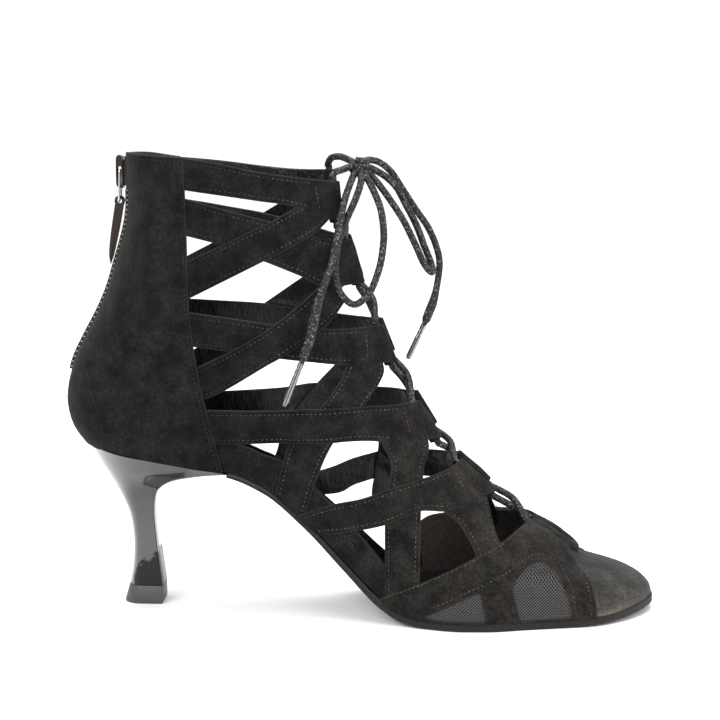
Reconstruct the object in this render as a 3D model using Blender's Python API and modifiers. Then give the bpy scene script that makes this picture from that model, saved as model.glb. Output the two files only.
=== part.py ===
"""Right-foot heeled dance boot: a strap-cage upper with folded lace tabs and a back zip, on a flared heel.

Everything is worked out in shoe millimetres and placed in metres. x runs from the back of the heel
to the toe, y from the outer (negative) to the inner side of the foot, z up from the floor.
"""

import math

import bmesh
import bpy
import numpy as np

MM = 0.001
MID_X = 117.95
MID_Y = -2.55
GAP = 0.3
OUTER = -1
INNER = 1

# Wall of the upper, and how far each crossing layer is raised above the one below it
WALL = 1.6
LAYER = 0.55
RAND_LAYER = -1
UNDER = 0
OVER = 1
TOP = 2

# Sole and footbed
BREAST_X = 66.5
BREAST_Z = 57.8
TOE_TIP_X = 236.5
TOE_ROUND = 30.0
SEAT_BACK_X = 7.7
SEAT_ROUND = 24.0
LEAST_SHARE = 0.004
SOLE_EDGE = 1.0
SOLE_BEVEL_WIDTH = 0.8
SOLE_BEVEL_RISE = 0.5
SOLE_STATIONS = 20
INSOLE_INSET = 3.0
INSOLE_THICK = 3.2
INSOLE_ROUND = 1.1
INSOLE_SHOULDER = 0.3
INSOLE_DISH = (0.0, 0.5, 0.7, 0.5, 0.0)
INSOLE_STATIONS = 20
END_STATIONS = 6
TIP_STEP = 0.05
UPPER_FOOT = 0.8

# Lace and the tunnel in each folded tab
LACE_R = 1.4
BORE_R = 1.95
BORE_OVERRUN = 1.0
ROLL_R = 2.8
ROLL_SINK = 1.0
LACE_LEAD = 1.6
CROSSING_LIFT = 1.6
CROSSING_SPLIT = 1.15
INNER_SHARE = 0.6

# Zip at the centre back
ZIP_HALF = 4.0
ZIP_LOW_Z = 96.0
ZIP_TOP_Z = 183.0
ZIP_LEVELS = 14
ZIP_SLOT_X = (-12.0, 40.0)
ZIP_SLOT_TOP_Z = 200.0
# Section of the zip: y, height above the skin. The chain stands up in the middle of the tape.
ZIP_SECTION = (
    (-3.7, -0.5), (-3.7, 0.7), (-2.2, 0.7), (-1.7, 1.8), (1.7, 1.8), (2.2, 0.7), (3.7, 0.7), (3.7, -0.5),
)
# Slider plate and the bridge on it: two opposite corners of each box
SLIDER_PLATE = ((22.5, -3.5, 170.4), (23.1, 3.5, 183.0))
SLIDER_BRIDGE = {
    "bridge_bar": ((20.0, -1.1, 170.0), (21.0, 1.1, 183.6)),
    "bridge_top": ((20.3, -1.0, 182.2), (22.8, 1.0, 183.3)),
    "bridge_foot": ((20.3, -1.0, 170.7), (22.8, 1.0, 171.8)),
}
PIVOT_X = 21.75
PIVOT_Z = 177.5
EYE_X = 21.3
EYE_Z = 165.2
WIRE_R = 0.5
LINK_HALF = 2.4
LINK_CORNER = 0.8

# Outline of the back of the counter: z, x
BACK_ROWS = (
    (56, 15.1), (60, 13.6), (65, 9.7), (70, 5.0), (75, 1.8), (80, 0.2), (85, -0.4), (90, 0.1),
    (95, 1.2), (100, 2.6), (110, 7.3), (120, 12.7), (130, 17.1), (140, 20.2), (150, 23.2),
    (158, 25.1), (165, 25.8), (175, 25.6), (186, 25.1),
)
# Ridge of the toe, instep and shin: z, x
RIDGE_ROWS = (
    (2, 238), (5, 237.3), (9.4, 236.3), (12.8, 233.5), (15.7, 228.8), (18.2, 220), (20.8, 209.5), (24, 206),
    (28, 202), (32, 196.5), (36.5, 188), (44, 178.5), (52, 170.3), (63, 158.3), (75, 150), (87, 142.5), (104.5, 133), (118, 127.5), (134, 121),
    (148, 117), (155, 113.8), (165, 112), (175, 111.5), (186, 111.3),
)
# Feather line, where the upper meets heel and sole: x, z
FEATHER_ROWS = (
    (6, 68.8), (20, 65.9), (37, 63.2), (52, 60.3), (66, BREAST_Z), (80.6, 51.2), (96.6, 38.0), (112.6, 22.3),
    (128.7, 8.2), (137, 4.3), (147, 3.0), (195, 3.0), (215, 3.7), (237, 6.0),
)
# Outsole thickness: x, mm
OUTSOLE_ROWS = ((66, 1.2), (100, 2.0), (140, 3.0), (237, 3.0))
# Half width at the feather line: x, outer side, inner side
PLAN_ROWS = (
    (0, 24.5, 24.5), (35, 24.5, 24.5), (50, 24.5, 23.5), (66, 22.5, 21),
    (85, 20.5, 17.5), (100, 21.5, 17), (115, 26, 19.5), (130, 32.5, 25), (145, 38, 31),
    (160, 41.6, 35), (170, 41.2, 36.5), (185, 37.5, 36.5), (200, 34, 35), (215, 31, 32),
    (225, 28, 29), (237, 23, 24),
)
# Half width of ankle and leg: z, mm
LEG_ROWS = ((0, 30), (65, 27.5), (90, 28), (110, 29.5), (135, 31), (175, 30), (186, 30))
# Length of the round at the back of each level: z, mm
BACK_ROUND_ROWS = ((50, 24), (65, 24), (85, 27), (130, 32), (180, 40))
# Length of the round at the front of each level: z, mm
FRONT_ROUND_ROWS = ((2, 26), (8, 30), (20, 48), (50, 52), (100, 46), (175, 42))
# Rise over which the sole's width blends into the leg's
BLEND_RISE = 70.0
# Faces that lean apart less than this are one face
FLAT_ANGLE = math.radians(1.0)

# Front edge of the counter: z, x
COUNTER_ROWS = ((58, 64.5), (78, 59.8), (97.7, 55.7), (114.5, 53.6), (129, 52.6), (142, 52.4), (186, 50.8))
# Top line of the counter: x, z on the outer side, z on the inner side
COLLAR_ROWS = ((20, 185.0, 185.0), (30, 184.9, 184.0), (42, 184.6, 181.7), (52, 184.3, 180.6))
# How much further back the counter ends on the inner side
INNER_SETBACK = 8.5

# Lace tabs: z of the fold's top, z of its bottom and its half gap, on the outer side, then on the inner side
TAB_ROWS = {
    "tab_1": ((174.0, 158.0, 11.0), (177.0, 160.5, 15.5)),
    "tab_2": ((150.5, 133.5, 10.0), (150.5, 133.5, 13.0)),
    "tab_3": ((116.5, 101.5, 9.5), (116.5, 103.0, 11.0)),
    "tab_4": ((85.5, 70.6, 9.0), (86.5, 73.0, 10.0)),
    "tab_5": ((61.0, 48.5, 7.5), (61.5, 50.0, 8.0)),
    "tab_6": ((36.0, 28.0, 5.0), (36.0, 28.0, 5.0)),
}

# Straps: the layer, then a row for each rung across the strap: x and z of one edge, x and z of the other.
# A strap that ends in a folded tab names it, and the fold is its last rung.
STRAPS = {
    "collar": (TOP, "tab_1", ((47, 184.6, 47, 172), (63, 182.4, 65, 169.7), (77, 179.4, 80, 167.5),
                              (91, 177.0, 95, 164.8))),
    "strap_2": (UNDER, "tab_2", ((47, 169.5, 47, 155), (67, 164.2, 67.3, 150), (85, 159.5, 82, 144.3),
                                 (99, 154.4, 96.4, 138.2), (107.5, 151.5, 106, 133.5))),
    "cross_a": (OVER, None, ((47, 141.5, 47, 126.5), (69, 152.1, 67.2, 136.7), (84.6, 159.5, 82, 144.2),
                             (95.9, 165.7, 100.8, 153.9), (102, 169.5, 107, 159.5))),
    "strap_3": (UNDER, "tab_3", ((47.5, 124.7, 48, 110.8), (69, 121.7, 70, 107.8), (84.5, 119.5, 84.3, 106),
                                 (104.5, 117.3, 99, 104.4), (116, 117, 113, 102.8))),
    "cross_b": (OVER, None, ((50, 99.2, 52, 86.5), (66.5, 107.3, 66, 92.2), (85.7, 119.1, 85.5, 104.3),
                             (100.3, 130.9, 106.2, 118.6), (107.5, 138, 114, 128.5))),
    "cross_c": (OVER, None, ((127, 105, 115, 107), (128.5, 98.5, 112.7, 98.5), (122.3, 88.1, 104, 85.7),
                             (108.9, 71.9, 91.4, 70.6), (102.2, 57.4, 87.7, 60), (96.5, 39.2, 85, 48.9))),
    "strap_4": (TOP, "tab_4", ((53, 84.3, 54, 70.3), (80, 83.9, 75.5, 70.1), (103.4, 85.5, 100, 71.3),
                               (119.3, 86.2, 121, 72.6), (131.6, 86, 133, 71.5))),
    "cross_d": (UNDER, None, ((131, 79.5, 142.5, 79), (128.4, 71.5, 146.5, 69.5), (131.8, 63.3, 144.7, 60.7),
                              (130, 50, 144, 51), (129.3, 39.9, 143.7, 44.7), (129.4, 24.3, 143.4, 31.1),
                              (129.4, 9.2, 143.2, 12))),
    "strap_5": (OVER, "tab_5", ((94, 41.2, 102.5, 33.4), (108.7, 46.6, 110, 34.5),
                                (119.5, 49.6, 118.4, 36.6), (130.6, 53.7, 129.6, 39.9),
                                (143.8, 57.1, 144, 45.4), (152.9, 59.5, 157, 45.5))),
    "cross_e": (UNDER, None, ((153, 53, 167, 53.5), (152.6, 45.5, 170, 47.5), (158.1, 41.2, 172.2, 39.7),
                              (162.5, 35.5, 174.9, 33.2), (167, 25, 178, 27))),
    "rand": (RAND_LAYER, None, ((57, 72, 57, 60.5), (72.3, 69.3, 68, 58.1), (80.6, 65.6, 75, 55),
                                (88.5, 62.3, 81, 51.7), (98.5, 54, 90.5, 44.1), (107, 46.5, 99, 36.6),
                                (117.8, 35.9, 109, 27.0), (129.1, 23.5, 120, 16.4), (137, 14, 130, 8.6))),
}
# The same straps on the inner side, where they lie a little differently
INNER_ROWS = {
    "collar": ((38, 181.9, 38, 169.4), (60, 179.5, 62, 167), (76.4, 177.5, 79, 165), (91, 176.5, 95, 163.8)),
    "strap_2": ((38, 165, 38, 150.8), (60, 160.9, 60, 146.9), (76.6, 158, 76.6, 143.6), (94, 154, 93, 138.6),
                (105.5, 151.2, 104, 133.5)),
    "cross_a": ((38, 136.4, 38, 121.8), (60, 148.2, 59, 133.2), (81.9, 161.4, 80, 146.3),
                (93, 167.5, 98.5, 156), (100, 171, 106, 161.5)),
    "strap_3": ((38, 122.2, 38, 108.4), (60, 121, 60, 107.3), (76.3, 120, 77, 106), (98, 117.5, 96, 104.2),
                (114, 116.5, 112, 102.8)),
    "cross_b": ((40, 96.5, 42, 83.5), (58, 107.5, 58.5, 93), (76.3, 120, 76.5, 104.8), (92.1, 131, 98.5, 118.8),
                (103, 138.5, 111, 129)),
    "cross_c": ((126, 105.5, 111.5, 107), (126.5, 98.8, 109, 98.5), (118, 88.5, 98.2, 86.5), (103.5, 72.5, 86, 71),
                (97, 58, 82.5, 60), (92.5, 43.2, 80, 52.5)),
    "strap_4": ((43, 82.6, 44, 68.8), (81.2, 85.3, 77, 71.2), (98.6, 87.2, 97, 73), (119.3, 86.6, 119, 73),
                (131, 86.9, 132.5, 73)),
    "cross_d": ((127, 79, 141.5, 79), (123, 72, 142.5, 71), (124.5, 63.3, 139.5, 61.5), (122.8, 50, 137.5, 51),
                (121.6, 39.6, 136.8, 44), (125.5, 31, 138.5, 32), (129.5, 21, 141, 22), (131.5, 9.2, 143, 8)),
    "strap_5": ((86, 47.6, 93.5, 41.2), (104.5, 52.5, 107.7, 41.7), (114, 55.8, 115, 44.9),
                (126.6, 58.7, 126, 47.2), (141, 60.3, 142, 48.3), (152.5, 61.3, 155.5, 48.3)),
    "cross_e": ((153, 53, 166, 54), (152.6, 46.5, 169, 48), (158.1, 41.2, 172.2, 39.7), (162.5, 35.5, 174.9, 33.2),
                (167, 25, 178, 27)),
    "rand": ((48, 67.3, 48, 61.8), (68.5, 62.9, 68, 58.1), (76.5, 60, 75, 55), (83.5, 57, 81, 51.7),
             (93.5, 49.2, 90.5, 44.1), (102, 41.6, 99, 36.6), (112.3, 31.5, 109, 27), (122.8, 20.4, 120, 16.4),
             (132, 11.7, 130, 8.6)),
}
# Vamp: x and z of the top edge, x and z at the sole, on the outer side and on the inner side; then z on the
# fold of tab_6, x and z at the sole
VAMP_OUTER_ROWS = (
    (128, 10.5, 132, 7.5), (143.2, 17.7, 143, 4.2), (159.2, 25.8, 159, 3.9), (174.9, 32.7, 176, 3.9),
)
VAMP_INNER_ROWS = (
    (131, 12, 133, 6.6), (142.7, 28, 143, 4.2), (155, 31.4, 157, 3.9), (174.9, 35, 176, 3.9),
)
VAMP_FOLD_ROWS = ((36.0, 190, 3.9), (32.0, 202, 4.0), (28.0, 213.5, 4.5))
# Toe cap: x and z of its rear edge on the ridge, and how high that edge starts above the sole
CAP_REAR_X = 203.0
CAP_REAR_Z = 27.0
CAP_REAR_FOOT = 4.0
CAP_COLUMNS = 16
CAP_ROWS = 5
# Mesh windows in the vamp: x and z of the rear edge, x and z of the front edge
WINDOWS = {
    "window_rear": ((146, 5.2, 146.2, 4.7), (156, 10, 157.5, 4.9), (166.5, 14.9, 168.8, 5)),
    "window_front": ((182, 5.2, 202.8, 5.4), (181, 11, 202, 10.5), (179.8, 17.5, 199.5, 17),
                     (184, 22.6, 195, 22.2), (188, 24.5, 191, 24.5)),
}
WINDOW_FLOOR = -0.25
WINDOW_REACH = 2.0

# Heel: x and z at the back, x and z at the breast, half width; the first row is the seat
HEEL_ROWS = (
    (6.6, 68.6, BREAST_X, BREAST_Z, 25.5), (11.5, 59.5, 54, 56.0, 20.5), (15.1, 53.8, 43.5, 53.2, 16.0),
    (18.2, 48.5, 37.9, 49.8, 12.2), (20.6, 43.8, 35.4, 46.0, 9.9), (23.4, 36.4, 34.4, 38.5, 7.9),
    (24.7, 27.0, 34.8, 29.5, 6.9), (24.4, 16.1, 36.0, 17.5, 6.8), (23.0, 7.8, 37.2, 7.8, 7.1),
)
HEEL_TIP_ROWS = ((22.9, 7.5, 37.2, 7.5, 7.1), (20.8, 0.0, 37.2, 0.0, 7.4))
HEEL_ROUND_SHARE = 0.6
HEEL_STATIONS = 9
HEEL_SIDE_SHARES = (0.75, 0.9, 0.97, 1.0)
HEEL_CORNER_SHARE = 0.09

# Lace above the top tabs, up to the knot: x, y, z
LACE_TOP_OUTER = ((108.6, -10.6, 177.5), (111.5, -8.0, 178.4))
LACE_TOP_INNER = ((104.2, 14.4, 179.0), (105.8, 11.5, 181.8), (109.5, 8.0, 182.6))
KNOT_CENTRE = (117.9, -1.0, 179.4)
KNOT_HALF = (4.4, 4.0, 4.2)
LACE_JOIN_OUTER = (113.4, -3.9, 179.0)
LACE_JOIN_INNER = (113.6, 1.9, 181.6)
# Bow, hand placed: x, y, z
LOOP_A = (
    (120.0, -4.3, 176.6), (123.2, -7.8, 171.4), (126.6, -10.5, 163.5), (128.0, -12.5, 155),
    (127.8, -14, 148), (126.4, -16, 140), (122.8, -18.6, 131), (117.0, -21.8, 126.5),
    (111.6, -24.6, 131.5), (109.6, -24.0, 140), (110.4, -20.6, 150), (113.4, -15.6, 159),
    (117.0, -11.0, 167.5), (118.8, -7.2, 173.6),
)
LOOP_B = (
    (122.7, 0.7, 178.3), (128.3, 1.5, 175.0), (132.7, 2.3, 170.5), (136.3, 3.0, 163.7), (140.4, 3.0, 155.8),
    (143.6, 2.4, 147.5), (146.8, 0.8, 139.6), (146.8, -2.6, 137.2), (143.8, -5.2, 141), (140.2, -6.0, 149),
    (135.4, -6.0, 158.6), (130.2, -5.2, 166.4), (125.8, -3.6, 172.2), (123.4, -1.8, 174.8),
)
END_A = (
    (115.9, -4.4, 176.5), (113.2, -12.0, 168.8), (111.4, -19.8, 160), (109.4, -26.8, 147.5),
    (107.0, -29.6, 139), (103.2, -32.4, 127.5), (100.6, -33.6, 115.5), (97.4, -34.0, 106),
)
AGLET_A = ((97.0, -34.0, 105.2), (90.0, -32.2, 87.5))
END_B = (
    (120.9, 2.7, 181.6), (125.3, 5.4, 180.6), (130.0, 7.0, 176.8), (134.3, 8.2, 170.3), (139.9, 9.0, 161.6),
    (145.0, 9.2, 154.2), (148.3, 9.0, 146.8), (149.8, 8.2, 140.2), (149.2, 7.2, 132.9), (147.6, 6.2, 125.1),
    (145.2, 5.4, 118.6), (144.1, 5.0, 115.9),
)
AGLET_B = ((143.7, 4.9, 115.0), (137.2, 4.0, 101.0))
AGLET_R = 1.2
BOW_CORDS = {"lace_loop_a": LOOP_A, "lace_loop_b": LOOP_B, "lace_end_a": END_A, "lace_end_b": END_B}
AGLETS = {"aglet_a": AGLET_A, "aglet_b": AGLET_B}
# Outline of the zip pull in the side view: x, z of its outer edge, x, z of its inner edge
PULL_ROWS = (
    (19.4, 164.0, 22.9, 163.6), (18.4, 158, 21.9, 158), (17.2, 150, 20.2, 150), (16.6, 143.5, 18.6, 143.5),
)
PULL_TIP = (17.2, 139.4)
PULL_HALF = 1.2
PULL_EYE_R = 2.1
PULL_HOLE_R = 1.0

# Finish of each piece: colour, roughness, metallic
FINISHES = {
    "outsole": ((0.030, 0.028, 0.027), 0.85, 0.0),
    "insole": ((0.012, 0.012, 0.013), 0.55, 0.0),
    "heel": ((0.012, 0.012, 0.014), 0.12, 0.0),
    "heel_tip": ((0.020, 0.020, 0.020), 0.45, 0.0),
    "upper": ((0.022, 0.020, 0.019), 0.95, 0.0),
    "zip": ((0.015, 0.015, 0.016), 0.60, 0.0),
    "zip_metal": ((0.070, 0.066, 0.062), 0.25, 1.0),
    "zip_wire": ((0.700, 0.700, 0.710), 0.20, 1.0),
    "lace": ((0.080, 0.076, 0.080), 0.60, 0.0),
    "aglet": ((0.600, 0.590, 0.580), 0.25, 1.0),
}


def smooth_table(rows, column=1):
    """A monotone cubic curve through two columns of a table."""
    xs = np.array([row[0] for row in rows], float)
    ys = np.array([row[column] for row in rows], float)
    step = np.diff(xs)
    slope = np.diff(ys) / step
    tangent = np.zeros_like(ys)
    tangent[0] = slope[0]
    tangent[-1] = slope[-1]
    for i in range(1, len(xs) - 1):
        if slope[i - 1] * slope[i] > 0:
            before = 2 * step[i] + step[i - 1]
            after = step[i] + 2 * step[i - 1]
            tangent[i] = (before + after) / (before / slope[i - 1] + after / slope[i])

    def curve(x):
        inside = np.clip(np.asarray(x, float), xs[0], xs[-1])
        i = np.clip(np.searchsorted(xs, inside) - 1, 0, len(xs) - 2)
        t = (inside - xs[i]) / step[i]
        rise = t * t * (3 - 2 * t)
        swing = t * (1 - t) * step[i]
        return ys[i] + rise * (ys[i + 1] - ys[i]) + swing * ((1 - t) * tangent[i] - t * tangent[i + 1])

    return curve


back_x = smooth_table(BACK_ROWS)
ridge_x = smooth_table(RIDGE_ROWS)
feather_z = smooth_table(FEATHER_ROWS)
outsole_thick = smooth_table(OUTSOLE_ROWS)
outer_half = smooth_table(PLAN_ROWS, 1)
inner_half = smooth_table(PLAN_ROWS, 2)
leg_half = smooth_table(LEG_ROWS)
back_round = smooth_table(BACK_ROUND_ROWS)
front_round = smooth_table(FRONT_ROUND_ROWS)
counter_x = smooth_table(COUNTER_ROWS)
outer_collar_z = smooth_table(COLLAR_ROWS, 1)
inner_collar_z = smooth_table(COLLAR_ROWS, 2)


def half_width(x, z, side):
    """Half width of the last's level z at x, before its ends are rounded."""
    base = np.where(np.asarray(side) < 0, outer_half(x), inner_half(x))
    rise = np.clip((z - feather_z(x)) / BLEND_RISE, 0, 1)
    return base + (leg_half(z) - base) * rise * rise * (3 - 2 * rise)


def end_terms(x, z):
    """Squares that close each level at the back of the heel and at the ridge."""
    back = np.maximum(0, 1 - (x - back_x(z)) / back_round(z))
    back = np.where(z < BREAST_Z, 0, back)
    front = np.maximum(0, 1 - (ridge_x(z) - x) / front_round(z))
    return back**2 + front**2


def last_field(p):
    """Zero on the skin, the reference face of the upper, and negative inside the foot."""
    x, y, z = p[..., 0], p[..., 1], p[..., 2]
    return (y / half_width(x, z, y)) ** 2 + end_terms(x, z) - 1


def last_gradient(p):
    eps = 0.01
    columns = [last_field(p + eps * axis) - last_field(p - eps * axis) for axis in np.eye(3)]
    return np.stack(columns, axis=-1) / (2 * eps)


def settle(points):
    """Moves points onto the skin along its slope."""
    points = np.array(points, float)
    for _ in range(12):
        slope = last_gradient(points)
        size = np.maximum(np.sum(slope * slope, axis=-1, keepdims=True), 1e-9)
        step = last_field(points)[..., None] * slope / size
        length = np.maximum(np.linalg.norm(step, axis=-1, keepdims=True), 1e-9)
        points = points - step * np.minimum(1, 3.0 / length)
    return points


def outward(points):
    slope = last_gradient(np.asarray(points, float))
    return slope / np.linalg.norm(slope, axis=-1, keepdims=True)


def side_point(x, z, side):
    """Point of the skin seen at x, z from one side."""
    reach = max(0.0, 1 - float(end_terms(np.float64(x), np.float64(z))))
    return np.array((x, side * float(half_width(x, z, side)) * math.sqrt(reach), z))


def throat_point(z, gap, side):
    """Point of the skin beside the throat, at height z and a half gap from the middle."""
    x = float(ridge_x(z))
    for _ in range(20):
        share = gap / float(half_width(x, z, side))
        x = float(ridge_x(z)) - float(front_round(z)) * (1 - math.sqrt(1 - share * share))
    return np.array((x, side * gap, z))


def tab_ends(tab, side):
    """Top and bottom of a tab's fold, on the skin."""
    top, bottom, gap = TAB_ROWS[tab][0 if side < 0 else 1]
    return throat_point(top, gap, side), throat_point(bottom, gap, side)


def sunk(point):
    """The tunnel's axis lies below the skin."""
    return point - ROLL_SINK * outward(point)


def spline(points, per_span):
    """Catmull-Rom curve through the points, with a number of steps for each span."""
    points = np.asarray(points, float)
    before = 2 * points[0] - points[1]
    after = 2 * points[-1] - points[-2]
    knots = np.vstack([before, points, after])
    steps = per_span if hasattr(per_span, "__len__") else [per_span] * (len(points) - 1)
    out = [points[0]]
    for i, count in enumerate(steps):
        a, b, c, d = knots[i : i + 4]
        for k in range(1, count + 1):
            t = k / count
            bend = (2 * a - 5 * b + 4 * c - d) * t**2 + (3 * b - a - 3 * c + d) * t**3
            out.append(b + ((c - a) * t + bend) / 2)
    return np.array(out)


def place(points):
    """Shoe millimetres to metres about the object's origin."""
    return (np.asarray(points, float) - (MID_X, MID_Y, 0.0)) * MM


def new_object(name, mesh, collection):
    obj = bpy.data.objects.new(name, mesh)
    collection.objects.link(obj)
    return obj


def helper(obj):
    obj.hide_render = True
    obj.display_type = "WIRE"
    return obj


def add_boolean(obj, operation, operand):
    modifier = obj.modifiers.new(operation.title(), "BOOLEAN")
    modifier.operation = operation
    modifier.solver = "EXACT"
    if isinstance(operand, bpy.types.Collection):
        modifier.operand_type = "COLLECTION"
        modifier.collection = operand
    else:
        modifier.object = operand


def drop_flat_edges(obj):
    """Dissolves the edges that a union leaves inside flat faces."""
    modifier = obj.modifiers.new("Flat edges", "DECIMATE")
    modifier.decimate_type = "DISSOLVE"
    modifier.angle_limit = FLAT_ANGLE


def grid_mesh(name, grid):
    """An open sheet through a grid of points, facing out of the foot."""
    rows, columns = grid.shape[:2]
    faces = []
    for i in range(rows - 1):
        for j in range(columns - 1):
            a = i * columns + j
            faces.append((a, a + 1, a + columns + 1, a + columns))
    mesh = bpy.data.meshes.new(name)
    mesh.from_pydata(place(grid).reshape(-1, 3).tolist(), [], faces)
    across = np.cross(grid[1, 0] - grid[0, 0], grid[0, 1] - grid[0, 0])
    if np.dot(across, outward(grid[0, 0])) > 0:
        mesh.flip_normals()
    return mesh


def shell(name, grid, layer, collection):
    """A wall of the upper's thickness whose outer face lies on its layer."""
    return thick_sheet(name, grid, layer * LAYER, WALL, collection)


def thick_sheet(name, grid, level, thickness, collection):
    lifted = grid + level * outward(grid)
    obj = new_object(name, grid_mesh(name, lifted), collection)
    solidify = obj.modifiers.new("Wall", "SOLIDIFY")
    solidify.thickness = thickness * MM
    solidify.offset = -1.0
    solidify.use_even_offset = True
    obj.modifiers.new("Flat faces", "TRIANGULATE")
    return obj


def ribbon_grid(rungs, across, spacing=12.0):
    """Grid on the skin between two edges, given as pairs of points."""
    first = np.array([rung[0] for rung in rungs])
    second = np.array([rung[1] for rung in rungs])
    middle = (first + second) / 2
    spans = np.linalg.norm(np.diff(middle, axis=0), axis=1)
    steps = [max(1, round(span / spacing)) for span in spans]
    first = spline(first, steps)
    second = spline(second, steps)
    share = np.linspace(0, 1, across + 1)[None, :, None]
    return settle(first[:, None] * (1 - share) + second[:, None] * share)


def strap_grid(rows, tab, side):
    rungs = [(side_point(row[0], row[1], side), side_point(row[2], row[3], side)) for row in rows]
    if tab:
        rungs.append(tab_ends(tab, side))
    return ribbon_grid(rungs, 2)


def vamp_grid(side):
    rows = VAMP_OUTER_ROWS if side < 0 else VAMP_INNER_ROWS
    rungs = [(side_point(row[0], row[1], side), side_point(row[2], row[3], side)) for row in rows]
    gap = TAB_ROWS["tab_6"][0][2]
    for z, x_sole, z_sole in VAMP_FOLD_ROWS:
        rungs.append((throat_point(z, gap, side), side_point(x_sole, z_sole, side)))
    return ribbon_grid(rungs, 5)


def toe_cap_grid():
    """Toe cap from the sole's edge up and back to its rear edge under the vamp."""
    tip = float(ridge_x(feather_z(TOE_TIP_X) + UPPER_FOOT))
    low = float(feather_z(CAP_REAR_X)) + UPPER_FOOT + CAP_REAR_FOOT
    foot = []
    rear = []
    for turn in np.linspace(-math.pi / 2, math.pi / 2, CAP_COLUMNS + 1):
        side = OUTER if turn < 0 else INNER
        forward = math.cos(turn)
        x = CAP_REAR_X + (tip - CAP_REAR_X) * forward
        foot.append(side_point(x, float(feather_z(x)) + UPPER_FOOT, side))
        rear.append(side_point(CAP_REAR_X, low + (CAP_REAR_Z - low) * forward, side))
    share = np.linspace(0, 1, CAP_ROWS + 1)[None, :, None]
    return settle(np.array(foot)[:, None] * (1 - share) + np.array(rear)[:, None] * share)


def counter_grid(columns=20, levels=12):
    """Counter from one front edge, round the back, to the other front edge."""
    grid = np.zeros((columns + 1, levels + 1, 3))
    for i, u in enumerate(np.linspace(-1, 1, columns + 1)):
        for j, v in enumerate(np.linspace(0, 1, levels + 1)):
            z = BREAST_Z + (COLLAR_ROWS[0][1] - BREAST_Z) * v
            for _ in range(6):
                x, y = counter_level(u, z)
                low = float(feather_z(x)) + UPPER_FOOT
                high = float(outer_collar_z(x) if u < 0 else inner_collar_z(x))
                z = low + (high - low) * v
            grid[i, j] = x, y, z
    return settle(grid)


def counter_level(u, z):
    """Point at share u of the way from the back to a front edge of the counter, at height z."""
    back = float(back_x(z))
    bend = float(back_round(z))
    front = float(counter_x(z)) - (INNER_SETBACK if u > 0 else 0.0)
    length = front - back
    turn = math.acos(max(0.0, 1 - length / bend))
    run = abs(u) * (bend * turn + max(0.0, length - bend))
    angle = min(run / bend, turn)
    x = back + bend * (1 - math.cos(angle)) + max(0.0, run - bend * turn)
    y = float(half_width(x, z, u)) * math.sin(angle)
    return x, math.copysign(y, u)


def tube(name, points, radius, collection, sides=2, shares=None, cyclic=False):
    """A round bar along a polyline, made a mesh with its caps welded."""
    curve = bpy.data.curves.new(name, "CURVE")
    curve.dimensions = "3D"
    curve.bevel_depth = radius * MM
    curve.bevel_resolution = sides
    curve.use_fill_caps = True
    line = curve.splines.new("POLY")
    line.points.add(len(points) - 1)
    for i, (point, co) in enumerate(zip(line.points, place(points))):
        point.co = (*co, 1.0)
        point.radius = shares[i] if shares else 1.0
    line.use_cyclic_u = cyclic
    guide = bpy.data.objects.new(name + "_guide", curve)
    collection.objects.link(guide)
    graph = bpy.context.evaluated_depsgraph_get()
    mesh = bpy.data.meshes.new_from_object(guide.evaluated_get(graph))
    bpy.data.objects.remove(guide)
    bpy.data.curves.remove(curve)
    solid = bmesh.new()
    solid.from_mesh(mesh)
    bmesh.ops.remove_doubles(solid, verts=solid.verts, dist=0.00001)
    bmesh.ops.recalc_face_normals(solid, faces=solid.faces)
    solid.to_mesh(mesh)
    solid.free()
    return new_object(name, mesh, collection)


def loft(name, loops, collection):
    """A closed solid through loops whose points mirror about the middle, capped with strips."""
    loops = np.asarray(loops, float)
    rows, count = loops.shape[:2]
    faces = []
    for i in range(rows - 1):
        for j in range(count):
            k = (j + 1) % count
            faces.append((i * count + j, i * count + k, (i + 1) * count + k, (i + 1) * count + j))
    for start in (0, (rows - 1) * count):
        for j in range(count // 2 - 1):
            faces.append((start + j, start + j + 1, start + count - 2 - j, start + count - 1 - j))
    mesh = bpy.data.meshes.new(name)
    mesh.from_pydata(place(loops).reshape(-1, 3).tolist(), [], faces)
    solid = bmesh.new()
    solid.from_mesh(mesh)
    bmesh.ops.recalc_face_normals(solid, faces=solid.faces)
    solid.to_mesh(mesh)
    solid.free()
    return new_object(name, mesh, collection)


def box(name, low, high, collection):
    mesh = bpy.data.meshes.new(name)
    solid = bmesh.new()
    bmesh.ops.create_cube(solid, size=1.0)
    low, high = place(low), place(high)
    for vert in solid.verts:
        vert.co = [low[k] + (vert.co[k] + 0.5) * (high[k] - low[k]) for k in range(3)]
    solid.to_mesh(mesh)
    solid.free()
    return new_object(name, mesh, collection)


def plan_half(x, side, inset):
    """Half width of the sole's outline at x, taken in by an inset."""
    base = (outer_half(x) if side < 0 else inner_half(x)) - inset
    back = np.maximum(0, 1 - (x - SEAT_BACK_X - inset) / (SEAT_ROUND - inset))
    front = np.maximum(0, 1 - (TOE_TIP_X - inset - x) / (TOE_ROUND - inset))
    return base * np.sqrt(np.maximum(LEAST_SHARE, 1 - back**2 - front**2))


def sole_stations(start, end, round_back, round_toe, straight):
    """x stations along the sole, closer where an end is rounded."""
    turn = np.linspace(0, math.pi / 2, END_STATIONS)
    toe = end - round_toe * (1 - np.sin(turn))
    heel = start + round_back * (1 - np.cos(turn)) if round_back else np.array([start])
    middle = np.linspace(heel[-1], toe[0], straight + 2)[1:-1]
    return np.concatenate([heel, middle, toe])


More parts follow.
